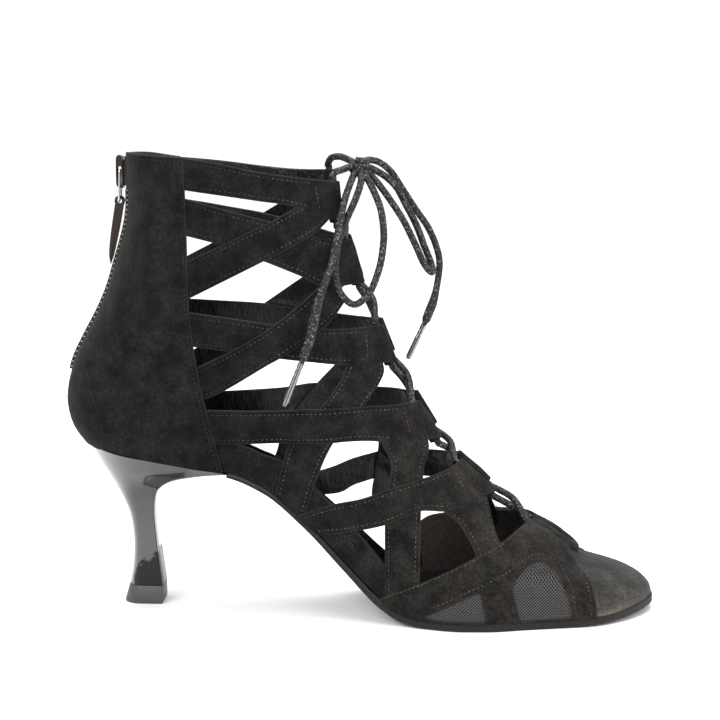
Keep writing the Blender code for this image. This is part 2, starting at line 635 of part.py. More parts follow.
def make_outsole(parts):
    """Thin sole whose lower edge is bevelled."""
    end = TOE_TIP_X + SOLE_EDGE
    loops = []
    for x in sole_stations(BREAST_X + GAP, end, 0, TOE_ROUND + SOLE_EDGE, SOLE_STATIONS):
        x = min(x, end - TIP_STEP)
        near = -float(plan_half(x, OUTER, -SOLE_EDGE))
        far = float(plan_half(x, INNER, -SOLE_EDGE))
        top = float(feather_z(x))
        low = top - float(outsole_thick(x))
        tuck = min(SOLE_BEVEL_WIDTH, (far - near) / 8)
        across = (near, near + tuck, 0.5 * (near + far), far - tuck, far)
        rise = (SOLE_BEVEL_RISE, 0.0, 0.0, 0.0, SOLE_BEVEL_RISE)
        lower = [(x, y, low + lift) for y, lift in zip(across, rise)]
        upper = [(x, y, top) for y in reversed(across)]
        loops.append(lower + upper)
    return loft("outsole", loops, parts)


def make_insole(parts):
    """Footbed with a rounded edge and a shallow dish along its middle."""
    start = SEAT_BACK_X + INSOLE_INSET
    end = TOE_TIP_X - INSOLE_INSET
    heel_turn = SEAT_ROUND - INSOLE_INSET
    toe_turn = TOE_ROUND - INSOLE_INSET
    loops = []
    for x in sole_stations(start, end, heel_turn, toe_turn, INSOLE_STATIONS):
        x = min(max(x, start + TIP_STEP), end - TIP_STEP)
        near = -float(plan_half(x, OUTER, INSOLE_INSET))
        far = float(plan_half(x, INNER, INSOLE_INSET))
        low = float(feather_z(x)) + GAP
        high = low + INSOLE_THICK
        tuck = min(INSOLE_ROUND, (far - near) / 8)
        shoulder = INSOLE_SHOULDER * (far - near)
        across = (near + tuck, near + shoulder, 0.5 * (near + far), far - shoulder, far - tuck)
        lower = [(x, y, low) for y in (near, *across, far)]
        upper = [(x, y, high - dip) for y, dip in zip(reversed(across), INSOLE_DISH)]
        loops.append([*lower, (x, far, high - INSOLE_ROUND), *upper, (x, near, high - INSOLE_ROUND)])
    return loft("insole", loops, parts)


def heel_loop(row, seat):
    """D-shaped section of the heel: round at the back, flat at the breast."""
    back, back_z, front, front_z, half = row
    turn = np.linspace(0.0, math.pi / 2, HEEL_STATIONS)
    shares = np.concatenate([HEEL_ROUND_SHARE * (1 - np.cos(turn)), HEEL_SIDE_SHARES])
    shares[0] = LEAST_SHARE
    side = []
    for share in shares:
        x = back + share * (front - back)
        ramp = min(share / HEEL_ROUND_SHARE, 1.0)
        width = half * math.sqrt(1 - (1 - ramp) ** 2)
        if share == HEEL_SIDE_SHARES[-1]:
            width -= HEEL_CORNER_SHARE * half
        z = back_z + share * (front_z - back_z)
        if seat:
            z = float(feather_z(x))
        side.append((x, width, z))
    near = [(x, -y, z) for x, y, z in side]
    return near + side[::-1]


def seat_loop():
    """Top of the heel: the counter's outline, cut straight at the breast."""
    row = HEEL_ROWS[0]
    loop = np.array(heel_loop(row, True))
    for point in loop:
        side = OUTER if point[1] < 0 else INNER
        point[1] = side * float(plan_half(point[0], side, -TOP * LAYER))
    return loop


def make_heel(parts):
    loops = [seat_loop()] + [heel_loop(row, False) for row in HEEL_ROWS[1:]]
    return loft("heel", loops, parts)


def make_heel_tip(parts):
    return loft("heel_tip", [heel_loop(row, False) for row in HEEL_TIP_ROWS], parts)


def toe_fold_path(side_first):
    """Tunnel along the vamp's fold: down one side of the throat, round its front and back."""
    top, front, gap = TAB_ROWS["tab_6"][0]
    leg = [sunk(throat_point(z, gap, side_first)) for z in (top, (top + front) / 2, front)]
    forward = leg[2] - leg[1]
    forward[1] = 0.0
    forward /= np.linalg.norm(forward)
    centre = leg[2] * (1, 0, 1)
    bend = [
        centre + gap * (math.cos(a) * side_first * np.array((0, 1, 0)) + math.sin(a) * forward)
        for a in np.linspace(0, math.pi, 7)[1:-1]
    ]
    other = [point * (1, -1, 1) for point in reversed(leg)]
    return leg + bend + other


def tunnel_path(tab, side):
    top, bottom = (sunk(point) for point in tab_ends(tab, side))
    return [top, bottom]


def stretched(path, extra):
    """The path with its two ends moved out along their own directions."""
    path = [np.array(point, float) for point in path]
    first = path[0] - path[1]
    last = path[-1] - path[-2]
    path[0] = path[0] + extra * first / np.linalg.norm(first)
    path[-1] = path[-1] + extra * last / np.linalg.norm(last)
    return path


def make_upper(parts, joined, cutters):
    """Counter, straps, vamp, toe cap and rolled tabs joined in one wall, then slot, windows and tunnels cut."""
    counter = shell("upper", counter_grid(), TOP, parts)
    helper(shell("toe_cap", toe_cap_grid(), UNDER, joined))
    for side, label in ((OUTER, "outer"), (INNER, "inner")):
        for name, (layer, tab, outer_rows) in STRAPS.items():
            rows = outer_rows if side < 0 else INNER_ROWS[name]
            helper(shell(f"{name}_{label}", strap_grid(rows, tab, side), layer, joined))
        helper(shell(f"vamp_{label}", vamp_grid(side), OVER, joined))
        for name, rows in WINDOWS.items():
            rungs = [(side_point(row[0], row[1], side), side_point(row[2], row[3], side)) for row in rows]
            grid = ribbon_grid(rungs, 2)
            helper(thick_sheet(f"{name}_{label}", grid, WINDOW_REACH, WINDOW_REACH - WINDOW_FLOOR, cutters))
        for tab in list(TAB_ROWS)[:-1]:
            path = tunnel_path(tab, side)
            helper(tube(f"{tab}_roll_{label}", path, ROLL_R, joined))
            helper(tube(f"{tab}_bore_{label}", stretched(path, BORE_OVERRUN), BORE_R, cutters))
    toe_path = toe_fold_path(OUTER)
    helper(tube("tab_6_roll", toe_path, ROLL_R, joined))
    helper(tube("tab_6_bore", stretched(toe_path, BORE_OVERRUN), BORE_R, cutters))
    slot_back, slot_front = ZIP_SLOT_X
    slot_low = (slot_back, -ZIP_HALF, ZIP_LOW_Z)
    helper(box("zip_slot", slot_low, (slot_front, ZIP_HALF, ZIP_SLOT_TOP_Z), cutters))
    add_boolean(counter, "UNION", joined)
    add_boolean(counter, "DIFFERENCE", cutters)
    drop_flat_edges(counter)
    return counter


def make_zip_tape(parts):
    """Tape in the slot with the closed tooth chain raised along its middle."""
    loops = []
    for z in np.linspace(ZIP_LOW_Z + GAP, ZIP_TOP_Z, ZIP_LEVELS):
        base = np.array((float(back_x(z)), 0.0, z))
        normal = outward(base)
        loops.append([base + (0, y, 0) + lift * normal for y, lift in ZIP_SECTION])
    return loft("zip_tape", loops, parts)


def make_zip_slider(parts, joined):
    """Plate over the chain and the bridge that holds the link."""
    plate = box("zip_slider", *SLIDER_PLATE, parts)
    for name, corners in SLIDER_BRIDGE.items():
        helper(box(name, *corners, joined))
    add_boolean(plate, "UNION", joined)
    return plate


def make_zip_link(parts):
    """Wire loop from the bridge to the eye of the pull."""
    top = [(PIVOT_X, y, PIVOT_Z) for y in (-LINK_HALF, LINK_HALF)]
    foot = [(EYE_X, y, EYE_Z) for y in (LINK_HALF, -LINK_HALF)]
    ring = np.array(top + foot)
    path = []
    for i, point in enumerate(ring):
        for other in (ring[i - 1], ring[(i + 1) % 4]):
            toward = other - point
            path.append(point + LINK_CORNER * toward / np.linalg.norm(toward))
    return tube("zip_link", path, WIRE_R, parts, cyclic=True)


def make_zip_pull(parts, cutters):
    """Leaf-shaped pull: an upright plate with its eye around the link's foot."""
    arc = np.linspace(math.radians(200), math.radians(-25), 9)
    outline = [(EYE_X + PULL_EYE_R * math.cos(a), EYE_Z + PULL_EYE_R * math.sin(a)) for a in arc]
    outline += [(row[2], row[3]) for row in PULL_ROWS]
    outline.append(PULL_TIP)
    outline += [(row[0], row[1]) for row in reversed(PULL_ROWS)]
    loops = [[(x, y, z) for x, z in outline] for y in (-PULL_HALF, PULL_HALF)]
    pull = prism("zip_pull", loops, parts)
    hole = [(EYE_X, y, EYE_Z) for y in (-3 * PULL_HALF, 3 * PULL_HALF)]
    helper(tube("pull_hole", hole, PULL_HOLE_R, cutters, sides=3))
    add_boolean(pull, "DIFFERENCE", cutters)
    return pull


def prism(name, loops, collection):
    """A flat outline with a thickness."""
    count = len(loops[0])
    faces = [tuple(range(count)), tuple(range(2 * count - 1, count - 1, -1))]
    faces += [(j, (j + 1) % count, count + (j + 1) % count, count + j) for j in range(count)]
    mesh = bpy.data.meshes.new(name)
    mesh.from_pydata(place(np.concatenate(loops)).tolist(), [], faces)
    solid = bmesh.new()
    solid.from_mesh(mesh)
    bmesh.ops.recalc_face_normals(solid, faces=solid.faces)
    solid.to_mesh(mesh)
    solid.free()
    return new_object(name, mesh, collection)


def lace_run(first_side):
    """One half of the lace: from the fold of the vamp, from side to side up through the tabs."""
    start = toe_fold_path(first_side)[:3]
    path = [start[1], start[0]]
    before = start[0]
    leave = (start[0] - start[1]) / np.linalg.norm(start[0] - start[1])
    side = first_side
    for level, tab in enumerate(list(TAB_ROWS)[-2::-1]):
        side = -side
        top, bottom = tunnel_path(tab, side)
        along = (top - bottom) / np.linalg.norm(top - bottom)
        out = before + LACE_LEAD * leave
        enter = bottom - LACE_LEAD * along
        over = 1 if (level % 2 == 0) == (first_side < 0) else -1
        ridge = outward(bottom) * (1, 0, 1)
        lift = CROSSING_LIFT + CROSSING_SPLIT * over
        middle = (enter + out) / 2 + lift * ridge / np.linalg.norm(ridge)
        path += [out, middle, enter, bottom, top]
        before = top
        leave = along
    path.append(before + LACE_LEAD * leave)
    return path


def lace_curve(points):
    """Smooth curve through the lace's points, with more steps on its longer spans."""
    spans = np.linalg.norm(np.diff(np.array(points), axis=0), axis=1)
    return spline(points, [2 if 4.0 < span < 9.0 else 1 for span in spans])


def make_lace(parts, joined):
    """Both halves of the lace, joined where they cross and inside the vamp's fold."""
    fold = toe_fold_path(OUTER)
    bend = fold[3:-3]
    toward_inner = [*reversed(bend), fold[2], *lace_run(OUTER)]
    toward_outer = [bend[-1], fold[-3], *lace_run(INNER)]
    first = lace_curve([*toward_inner, *LACE_TOP_INNER, LACE_JOIN_INNER])
    second = lace_curve([*toward_outer, *LACE_TOP_OUTER, LACE_JOIN_OUTER])
    thin = [INNER_SHARE] * 2 + [1.0] * (len(second) - 2)
    lace = tube("lace", first, LACE_R, parts)
    helper(tube("lace_second", second, LACE_R, joined, shares=thin))
    add_boolean(lace, "UNION", joined)
    drop_flat_edges(lace)
    return lace


def make_bow(parts):
    """Knot, loops, ends and metal tips of the bow."""
    mesh = bpy.data.meshes.new("lace_knot")
    solid = bmesh.new()
    bmesh.ops.create_uvsphere(solid, u_segments=12, v_segments=8, radius=1.0)
    for vert in solid.verts:
        vert.co = place([KNOT_CENTRE[k] + KNOT_HALF[k] * vert.co[k] for k in range(3)])
    solid.to_mesh(mesh)
    solid.free()
    made = [new_object("lace_knot", mesh, parts)]
    made += [tube(name, spline(points, 1), LACE_R, parts) for name, points in BOW_CORDS.items()]
    made += [tube(name, points, AGLET_R, parts) for name, points in AGLETS.items()]
    return made


def finish(obj, key):
    colour, roughness, metallic = FINISHES[key]
    material = bpy.data.materials.get(key) or bpy.data.materials.new(key)
    material.use_nodes = True
    surface = material.node_tree.nodes["Principled BSDF"]
    surface.inputs["Base Color"].default_value = (*colour, 1.0)
    surface.inputs["Roughness"].default_value = roughness
    surface.inputs["Metallic"].default_value = metallic
    obj.data.materials.clear()
    obj.data.materials.append(material)


def new_collection(name, parent):
    collection = bpy.data.collections.new(name)
    parent.children.link(collection)
    return collection


def main():
    for obj in list(bpy.data.objects):
        bpy.data.objects.remove(obj)
    root = bpy.context.scene.collection
    parts = new_collection("dance_shoe", root)
    helpers = new_collection("helpers", root)
    upper_joined = new_collection("upper_joined", helpers)
    upper_cutters = new_collection("upper_cutters", helpers)
    slider_joined = new_collection("slider_joined", helpers)
    pull_cutters = new_collection("pull_cutters", helpers)
    lace_joined = new_collection("lace_joined", helpers)
    finish(make_outsole(parts), "outsole")
    finish(make_insole(parts), "insole")
    finish(make_heel(parts), "heel")
    finish(make_heel_tip(parts), "heel_tip")
    finish(make_upper(parts, upper_joined, upper_cutters), "upper")
    finish(make_zip_tape(parts), "zip")
    finish(make_zip_slider(parts, slider_joined), "zip_metal")
    finish(make_zip_link(parts), "zip_wire")
    finish(make_zip_pull(parts, pull_cutters), "zip_metal")
    finish(make_lace(parts, lace_joined), "lace")
    for obj in make_bow(parts):
        finish(obj, "aglet" if obj.name.startswith("aglet") else "lace")


main()
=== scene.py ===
"""Looks of a right-foot heeled dance boot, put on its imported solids.

Pieces are worked out in shoe millimetres and placed in metres. x runs from the back of the heel to the
toe, y from the outer (negative) to the inner side of the foot, z up from the floor.
"""

import math
from functools import partial

import bmesh
import bpy
import numpy as np
from bpy.props import FloatProperty, FloatVectorProperty, PointerProperty
from bpy.types import Operator, Panel, PropertyGroup
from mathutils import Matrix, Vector


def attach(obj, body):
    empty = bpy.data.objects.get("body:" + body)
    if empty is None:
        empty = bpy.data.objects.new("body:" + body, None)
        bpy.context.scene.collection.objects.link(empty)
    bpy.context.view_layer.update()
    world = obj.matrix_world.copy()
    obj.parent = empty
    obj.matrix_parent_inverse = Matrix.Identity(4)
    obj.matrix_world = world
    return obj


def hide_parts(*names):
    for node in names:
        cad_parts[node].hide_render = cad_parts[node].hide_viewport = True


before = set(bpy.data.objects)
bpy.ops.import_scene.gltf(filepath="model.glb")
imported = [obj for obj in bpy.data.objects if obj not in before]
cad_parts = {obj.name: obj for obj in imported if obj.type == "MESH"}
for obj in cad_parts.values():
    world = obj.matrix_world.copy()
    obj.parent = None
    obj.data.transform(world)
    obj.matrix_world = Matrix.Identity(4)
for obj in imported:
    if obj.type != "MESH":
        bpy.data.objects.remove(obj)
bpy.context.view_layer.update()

bl_info = {
    "name": "Dance Shoe",
    "version": (1, 0, 0),
    "blender": (4, 5, 0),
    "location": "View3D > Sidebar > Dance Shoe",
    "description": "Builds the straps, sole, heel, zip and lace of a dance boot",
    "category": "Object",
}

BODY = "shoe"
SEED = 7
MM = 0.001
MID_X = 117.95
MID_Y = -2.55
OUTER = -1
INNER = 1
SIDES = ((OUTER, "outer"), (INNER, "inner"))

# Camera of the photo: metres and degrees
CAMERA_TARGET = (0.00005, 0.00255, 0.101)
CAMERA_DISTANCE = 0.860
CAMERA_AZIMUTH = 3.0
CAMERA_ELEVATION = 9.0
CAMERA_LENS = 106.25
SENSOR_WIDTH = 36.0
# Soft boxes: place and sides in metres, watts
LIGHTS = {
    "key": ((-0.75, -1.2, 1.0), (1.0, 1.0), 20.0),
    "top": ((0.1, 0.3, 1.5), (1.4, 1.0), 22.0),
    "fill": ((1.1, -0.7, 0.6), (0.8, 0.9), 9.0),
}
ROOM_LIGHT = 0.8
# Floor paper in metres: how far it reaches to each side and up, where it starts to rise, radius of the rise
FLOOR_REACH = 3.0
FLOOR_RISE_Y = 1.6
FLOOR_RISE_R = 0.8

# Heights of the outer faces above the skin
STRAP_LEVEL = 0.25
RAND_LEVEL = -0.75
COUNTER_LEVEL = 1.0
VAMP_LEVEL = 1.0
CROSS_RISE = 1.0
MATE_SINK = 0.45
WINDOW_LEVEL = -0.7
NET_LEVEL = -0.05

# Forms of the net, the rolled sleeves, the folds and the pressed seams
NET_WAVE = 0.12
NET_THREAD = 0.15
SLEEVE_WALL = 0.85
SLEEVE_STEP = 1.5
SLEEVE_EDGE = 0.6
ROUND_SIDES = 28
TAB_RISE_LENGTH = 7.0
VAMP_RISE_LENGTH = 5.0
GROOVE_DEPTH = 0.16
GROOVE_WIDTH = 0.55
CROWN = 0.22
CREASE_REACH = 2.2

# Distances from an edge where a sheet has a line of points; the stitches follow one of them
EDGE_STEPS = (0.0, 0.15, 0.4, 0.8, 1.3, 1.9, 2.6, 3.6)
STITCH_COLUMN = 5
STITCH_INSET = EDGE_STEPS[STITCH_COLUMN]
# Distances from an edge over which its paler colour fades: bare fibres and a painted highlight
EDGE_PAINT_FADE = (0.1, 0.55)
# Depths inside another strap's outline over which a strap loses its own edge, sinks or rises over it
JOIN_FADE = (0.1, 1.0)
JOIN_SINK = (0.4, 1.6)
CROSS_RAMP = (-3.5, 0.3)

# Stitches: x where they are darkest and where they are pale, the least share of the pale thread, then the
# thread's sides, the share of its radius that it stands up, and how far behind a tab's fold a seam crosses
STITCH_FADE_X = (48.0, 100.0)
STITCH_LEAST = 0.12
THREAD_SIDES = 6
THREAD_PROUD = 0.45
TAB_STITCH_BACK = 11.5

# How close the points of straps and vamp lie
STRAP_STEP = 1.4
VAMP_STEP = 0.7
VAMP_EDGE = 4.4
VAMP_COLUMNS = 46
# Points this near a window's outline are moved onto it
VAMP_SNAP = 0.45 * VAMP_STEP
# Distance that stands for no edge near by
FAR = 99.0

# Sole and footbed
BREAST_X = 66.5
BREAST_Z = 57.8
TOE_TIP_X = 236.5
TOE_ROUND = 30.0
SEAT_BACK_X = 7.7
SEAT_ROUND = 24.0
LEAST_SHARE = 0.004
SOLE_EDGE = 1.0
SOLE_TUCK = 0.6
INSOLE_INSET = 3.0
INSOLE_THICK = 3.2
INSOLE_DISH = 0.7
INSOLE_STEPS = (0.0, 0.2, 0.5, 0.9, 1.4, 2.2)
OUTSOLE_STEPS = (0.0, 0.12, 0.35, 0.7, 1.2)
GAP = 0.3
UPPER_FOOT = 0.1
HEEL_TOP_LEVEL = 1.1

# Lace and the tunnel in each folded tab
LACE_R = 1.4
BORE_R = 1.95
ROLL_R = 2.8
ROLL_SINK = 1.0
LACE_LEAD = 1.6
CROSSING_LIFT = 1.6
CROSSING_SPLIT = 1.15
TIP_R = 1.0
TIP_LENGTH = 4.0
TIP_TAPER = 3.0
LOOSE_SWELL = 0.35
KNOT_SHARE = 0.45
BRAID_SIDES = 20
BRAID_STEP = 0.45
BRAID_LOBES = 4
BRAID_PITCH = 4.2
BRAID_DEPTH = 0.09

# Zip at the centre back
ZIP_HALF = 4.0
ZIP_LOW_Z = 96.0
ZIP_TOP_Z = 183.0
ZIP_OPENING_Z = (ZIP_LOW_Z - 3.0, ZIP_LOW_Z + 1.5)
TAPE_HALF = 3.7
TAPE_ROWS = 44
TAPE_LOW = -0.5
TAPE_HIGH = 0.6
CORE_HIGH = 2.2
CORE_HIGH_SLIDER = 1.75
CORE_HALF = 0.5
# The chain ends this far below the slider
CHAIN_CLEAR = 0.6
TOOTH_START = 1.5
TOOTH_HALF = 0.3
# A tooth: height and spread of its rings, then across and share of its half height at its corners
TOOTH_RINGS = ((TAPE_HIGH - 0.2, 1.0), (1.7, 1.0), (2.2, 0.7))
TOOTH_CORNERS = ((-0.75, -1), (1.75, -0.8), (1.75, 0.8), (-0.75, 1))
PIVOT_X = 21.75
PIVOT_Z = 177.5
EYE_X = 21.3
EYE_Z = 165.2
WIRE_R = 0.5
LINK_HALF = 2.4
LINK_CORNER = 0.8

# Outline of the back of the counter: z, x
BACK_ROWS = (
    (56, 15.1), (60, 13.6), (65, 9.7), (70, 5.0), (75, 1.8), (80, 0.2), (85, -0.4), (90, 0.1),
    (95, 1.2), (100, 2.6), (110, 7.3), (120, 12.7), (130, 17.1), (140, 20.2), (150, 23.2),
    (158, 25.1), (165, 25.8), (175, 25.6), (186, 25.1),
)
# Ridge of the toe, instep and shin: z, x
RIDGE_ROWS = (
    (2, 238), (5, 237.3), (9.4, 236.3), (12.8, 233.5), (15.7, 228.8), (18.2, 220), (20.8, 209.5), (24, 206),
    (28, 202), (32, 196.5), (36.5, 188), (44, 178.5), (52, 170.3), (63, 158.3), (75, 150), (87, 142.5),
    (104.5, 133), (118, 127.5), (134, 121), (148, 117), (155, 113.8), (165, 112), (175, 111.5), (186, 111.3),
)
# Feather line, where the upper meets heel and sole: x, z
FEATHER_ROWS = (
    (6, 68.8), (20, 65.9), (37, 63.2), (52, 60.3), (66, BREAST_Z), (80.6, 51.2), (96.6, 38.0), (112.6, 22.3),
    (128.7, 8.2), (137, 4.3), (147, 3.0), (195, 3.0), (215, 3.7), (237, 6.0),
)
# Outsole thickness: x, mm
OUTSOLE_ROWS = ((66, 1.2), (100, 2.0), (140, 3.0), (237, 3.0))
# Half width at the feather line: x, outer side, inner side
PLAN_ROWS = (
    (0, 24.5, 24.5), (35, 24.5, 24.5), (50, 24.5, 23.5), (66, 22.5, 21),
    (85, 20.5, 17.5), (100, 21.5, 17), (115, 26, 19.5), (130, 32.5, 25), (145, 38, 31),
    (160, 41.6, 35), (170, 41.2, 36.5), (185, 37.5, 36.5), (200, 34, 35), (215, 31, 32),
    (225, 28, 29), (237, 23, 24),
)
# Half width of ankle and leg: z, mm
LEG_ROWS = ((0, 30), (65, 27.5), (90, 28), (110, 29.5), (135, 31), (175, 30), (186, 30))
# Length of the round at the back of each level: z, mm
BACK_ROUND_ROWS = ((50, 24), (65, 24), (85, 27), (130, 32), (180, 40))
# Length of the round at the front of each level: z, mm
FRONT_ROUND_ROWS = ((2, 26), (8, 30), (20, 48), (50, 52), (100, 46), (175, 42))
BLEND_RISE = 70.0
# Front edge of the counter: z, x
COUNTER_ROWS = ((58, 64.5), (78, 59.8), (97.7, 55.7), (114.5, 53.6), (129, 52.6), (142, 52.4), (186, 50.8))
# Top line of the counter: x, z on the outer side, z on the inner side
COLLAR_ROWS = ((20, 185.0, 185.0), (30, 184.9, 184.0), (42, 184.6, 181.7), (52, 184.3, 180.6))
# Length of a level of the counter on one side, about, and its lines of points between the edges
COUNTER_RUN = 70.0
COUNTER_COLUMNS = 22
COUNTER_ROWS_UP = 40
# How much further back the counter ends on the inner side
INNER_SETBACK = 8.5

# Lace tabs: z of the fold's top, z of its bottom and its half gap, on the outer side, then on the inner side
TAB_ROWS = {
    "tab_1": ((174.0, 158.0, 11.0), (177.0, 160.5, 15.5)),
    "tab_2": ((150.5, 133.5, 10.0), (150.5, 133.5, 13.0)),
    "tab_3": ((116.5, 101.5, 9.5), (116.5, 103.0, 11.0)),
    "tab_4": ((85.5, 70.6, 9.0), (86.5, 73.0, 10.0)),
    "tab_5": ((61.0, 48.5, 7.5), (61.5, 50.0, 8.0)),
    "tab_6": ((36.0, 28.0, 5.0), (36.0, 28.0, 5.0)),
}
# Straps: the tab that ends it, the strap that it is one piece with, the straps that it lies over, then a row
# for each rung across it: x and z of one edge, x and z of the other. The rand is the wall over the arch.
STRAPS = {
    "collar": ("tab_1", "cross_a", (), (
        (47, 184.6, 47, 172), (63, 182.4, 65, 169.7), (77, 179.4, 80, 167.5), (91, 177.0, 95, 164.8))),
    "strap_2": ("tab_2", "cross_b", (), (
        (47, 169.5, 47, 155), (67, 164.2, 67.3, 150), (85, 159.5, 82, 144.3), (99, 154.4, 96.4, 138.2),
        (107.5, 151.5, 106, 133.5))),
    "cross_a": (None, "collar", ("strap_2",), (
        (47, 141.5, 47, 126.5), (69, 152.1, 67.2, 136.7), (84.6, 159.5, 82, 144.2),
        (95.9, 165.7, 100.8, 153.9), (102, 169.5, 107, 159.5))),
    "strap_3": ("tab_3", "cross_c", (), (
        (47.5, 124.7, 48, 110.8), (69, 121.7, 70, 107.8), (84.5, 119.5, 84.3, 106), (104.5, 117.3, 99, 104.4),
        (116, 117, 113, 102.8))),
    "cross_b": (None, "strap_2", ("strap_3",), (
        (50, 99.2, 52, 86.5), (66.5, 107.3, 66, 92.2), (85.7, 119.1, 85.5, 104.3),
        (100.3, 130.9, 106.2, 118.6), (107.5, 138, 114, 128.5))),
    "cross_c": (None, "strap_3", (), (
        (127, 105, 115, 107), (128.5, 98.5, 112.7, 98.5), (122.3, 88.1, 104, 85.7), (108.9, 71.9, 91.4, 70.6),
        (102.2, 57.4, 87.7, 60), (96.5, 39.2, 85, 48.9))),
    "strap_4": ("tab_4", "cross_d", ("cross_c",), (
        (53, 84.3, 54, 70.3), (80, 83.9, 75.5, 70.1), (103.4, 85.5, 100, 71.3), (119.3, 86.2, 121, 72.6),
        (131.6, 86, 133, 71.5))),
    "cross_d": (None, "strap_4", (), (
        (131, 79.5, 142.5, 79), (128.4, 71.5, 146.5, 69.5), (131.8, 63.3, 144.7, 60.7), (130, 50, 144, 51),
        (129.3, 39.9, 143.7, 44.7), (129.4, 24.3, 143.4, 31.1), (129.4, 9.2, 143.2, 12))),
    "strap_5": ("tab_5", "cross_e", ("cross_d", "cross_c"), (
        (94, 41.2, 102.5, 33.4), (108.7, 46.6, 110, 34.5), (119.5, 49.6, 118.4, 36.6),
        (130.6, 53.7, 129.6, 39.9), (143.8, 57.1, 144, 45.4), (152.9, 59.5, 157, 45.5))),
    "cross_e": (None, "strap_5", (), (
        (153, 53, 167, 53.5), (152.6, 45.5, 170, 47.5), (158.1, 41.2, 172.2, 39.7),
        (162.5, 35.5, 174.9, 33.2), (167, 25, 178, 27))),
    "rand": (None, None, (), (
        (57, 72, 57, 60.5), (72.3, 69.3, 68, 58.1), (80.6, 65.6, 75, 55), (88.5, 62.3, 81, 51.7),
        (98.5, 54, 90.5, 44.1), (107, 46.5, 99, 36.6), (117.8, 35.9, 109, 27.0), (129.1, 23.5, 120, 16.4),
        (137, 14, 130, 8.6))),
}
# The same straps on the inner side, where they lie a little differently
INNER_ROWS = {
    "collar": ((38, 181.9, 38, 169.4), (60, 179.5, 62, 167), (76.4, 177.5, 79, 165), (91, 176.5, 95, 163.8)),
    "strap_2": ((38, 165, 38, 150.8), (60, 160.9, 60, 146.9), (76.6, 158, 76.6, 143.6), (94, 154, 93, 138.6),
                (105.5, 151.2, 104, 133.5)),
    "cross_a": ((38, 136.4, 38, 121.8), (60, 148.2, 59, 133.2), (81.9, 161.4, 80, 146.3),
                (93, 167.5, 98.5, 156), (100, 171, 106, 161.5)),
    "strap_3": ((38, 122.2, 38, 108.4), (60, 121, 60, 107.3), (76.3, 120, 77, 106), (98, 117.5, 96, 104.2),
                (114, 116.5, 112, 102.8)),
    "cross_b": ((40, 96.5, 42, 83.5), (58, 107.5, 58.5, 93), (76.3, 120, 76.5, 104.8),
                (92.1, 131, 98.5, 118.8), (103, 138.5, 111, 129)),
    "cross_c": ((126, 105.5, 111.5, 107), (126.5, 98.8, 109, 98.5), (118, 88.5, 98.2, 86.5),
                (103.5, 72.5, 86, 71), (97, 58, 82.5, 60), (92.5, 43.2, 80, 52.5)),
    "strap_4": ((43, 82.6, 44, 68.8), (81.2, 85.3, 77, 71.2), (98.6, 87.2, 97, 73), (119.3, 86.6, 119, 73),
                (131, 86.9, 132.5, 73)),
    "cross_d": ((127, 79, 141.5, 79), (123, 72, 142.5, 71), (124.5, 63.3, 139.5, 61.5),
                (122.8, 50, 137.5, 51), (121.6, 39.6, 136.8, 44), (125.5, 31, 138.5, 32),
                (129.5, 21, 141, 22), (131.5, 9.2, 143, 8)),
    "strap_5": ((86, 47.6, 93.5, 41.2), (104.5, 52.5, 107.7, 41.7), (114, 55.8, 115, 44.9),
                (126.6, 58.7, 126, 47.2), (141, 60.3, 142, 48.3), (152.5, 61.3, 155.5, 48.3)),
    "cross_e": ((153, 53, 166, 54), (152.6, 46.5, 169, 48), (158.1, 41.2, 172.2, 39.7),
                (162.5, 35.5, 174.9, 33.2), (167, 25, 178, 27)),
    "rand": ((48, 67.3, 48, 61.8), (68.5, 62.9, 68, 58.1), (76.5, 60, 75, 55), (83.5, 57, 81, 51.7),
             (93.5, 49.2, 90.5, 44.1), (102, 41.6, 99, 36.6), (112.3, 31.5, 109, 27),
             (122.8, 20.4, 120, 16.4), (132, 11.7, 130, 8.6)),
}
# Soft creases across the straps: share of the length, depth in mm, slant in mm from edge to edge
CREASES = {
    "collar": ((0.34, 0.22, 4.0), (0.62, 0.18, -3.0)),
    "strap_2": ((0.22, 0.25, -4.0), (0.70, 0.22, 3.0)),
    "cross_a": ((0.18, 0.22, 4.0),),
    "strap_3": ((0.20, 0.25, 3.0), (0.74, 0.20, -4.0)),
    "cross_b": ((0.14, 0.25, 3.0), (0.80, 0.2, 2.0)),
    "cross_c": ((0.30, 0.24, -5.0), (0.86, 0.25, 3.0)),
    "strap_4": ((0.16, 0.26, 4.0), (0.30, 0.2, -2.0), (0.84, 0.2, 3.0)),
    "cross_d": ((0.30, 0.28, 3.0), (0.74, 0.2, -3.0)),
    "strap_5": ((0.16, 0.26, 3.0), (0.55, 0.2, -3.0)),
    "cross_e": ((0.45, 0.24, 3.0),),
}
# Vamp: x and z of the top edge and x at the sole, on the outer side and on the inner side; then z on the fold
# of tab_6 and x at the sole
VAMP_OUTER_ROWS = ((128, 10.5, 132), (143.2, 17.7, 143), (159.2, 25.8, 159), (174.9, 32.7, 176))
VAMP_INNER_ROWS = ((131, 12, 133), (142.7, 28, 143), (155, 31.4, 157), (174.9, 35, 176))
VAMP_FOLD_ROWS = ((36.0, 190), (32.0, 202), (28.0, 213.5))
VAMP_THICK = 1.9
# Along the vamp's top edge: x where the fold begins and is full, and where the seam of the open edge ends
FOLD_X = (183.0, 188.0)
TOP_SEAM_END_X = 185.0
FOLD_SEAM_INSET = 6.0
# Toe cap: x and z of its rear edge on the ridge, and how high that edge starts above the sole
CAP_REAR_X = 203.0
CAP_REAR_Z = 27.0
CAP_REAR_FOOT = 4.0
CAP_LEVEL = 0.1
CAP_EDGE = 1.2
CAP_COLUMNS = 97
CAP_ROWS = 48
CAP_EASE = 1.3
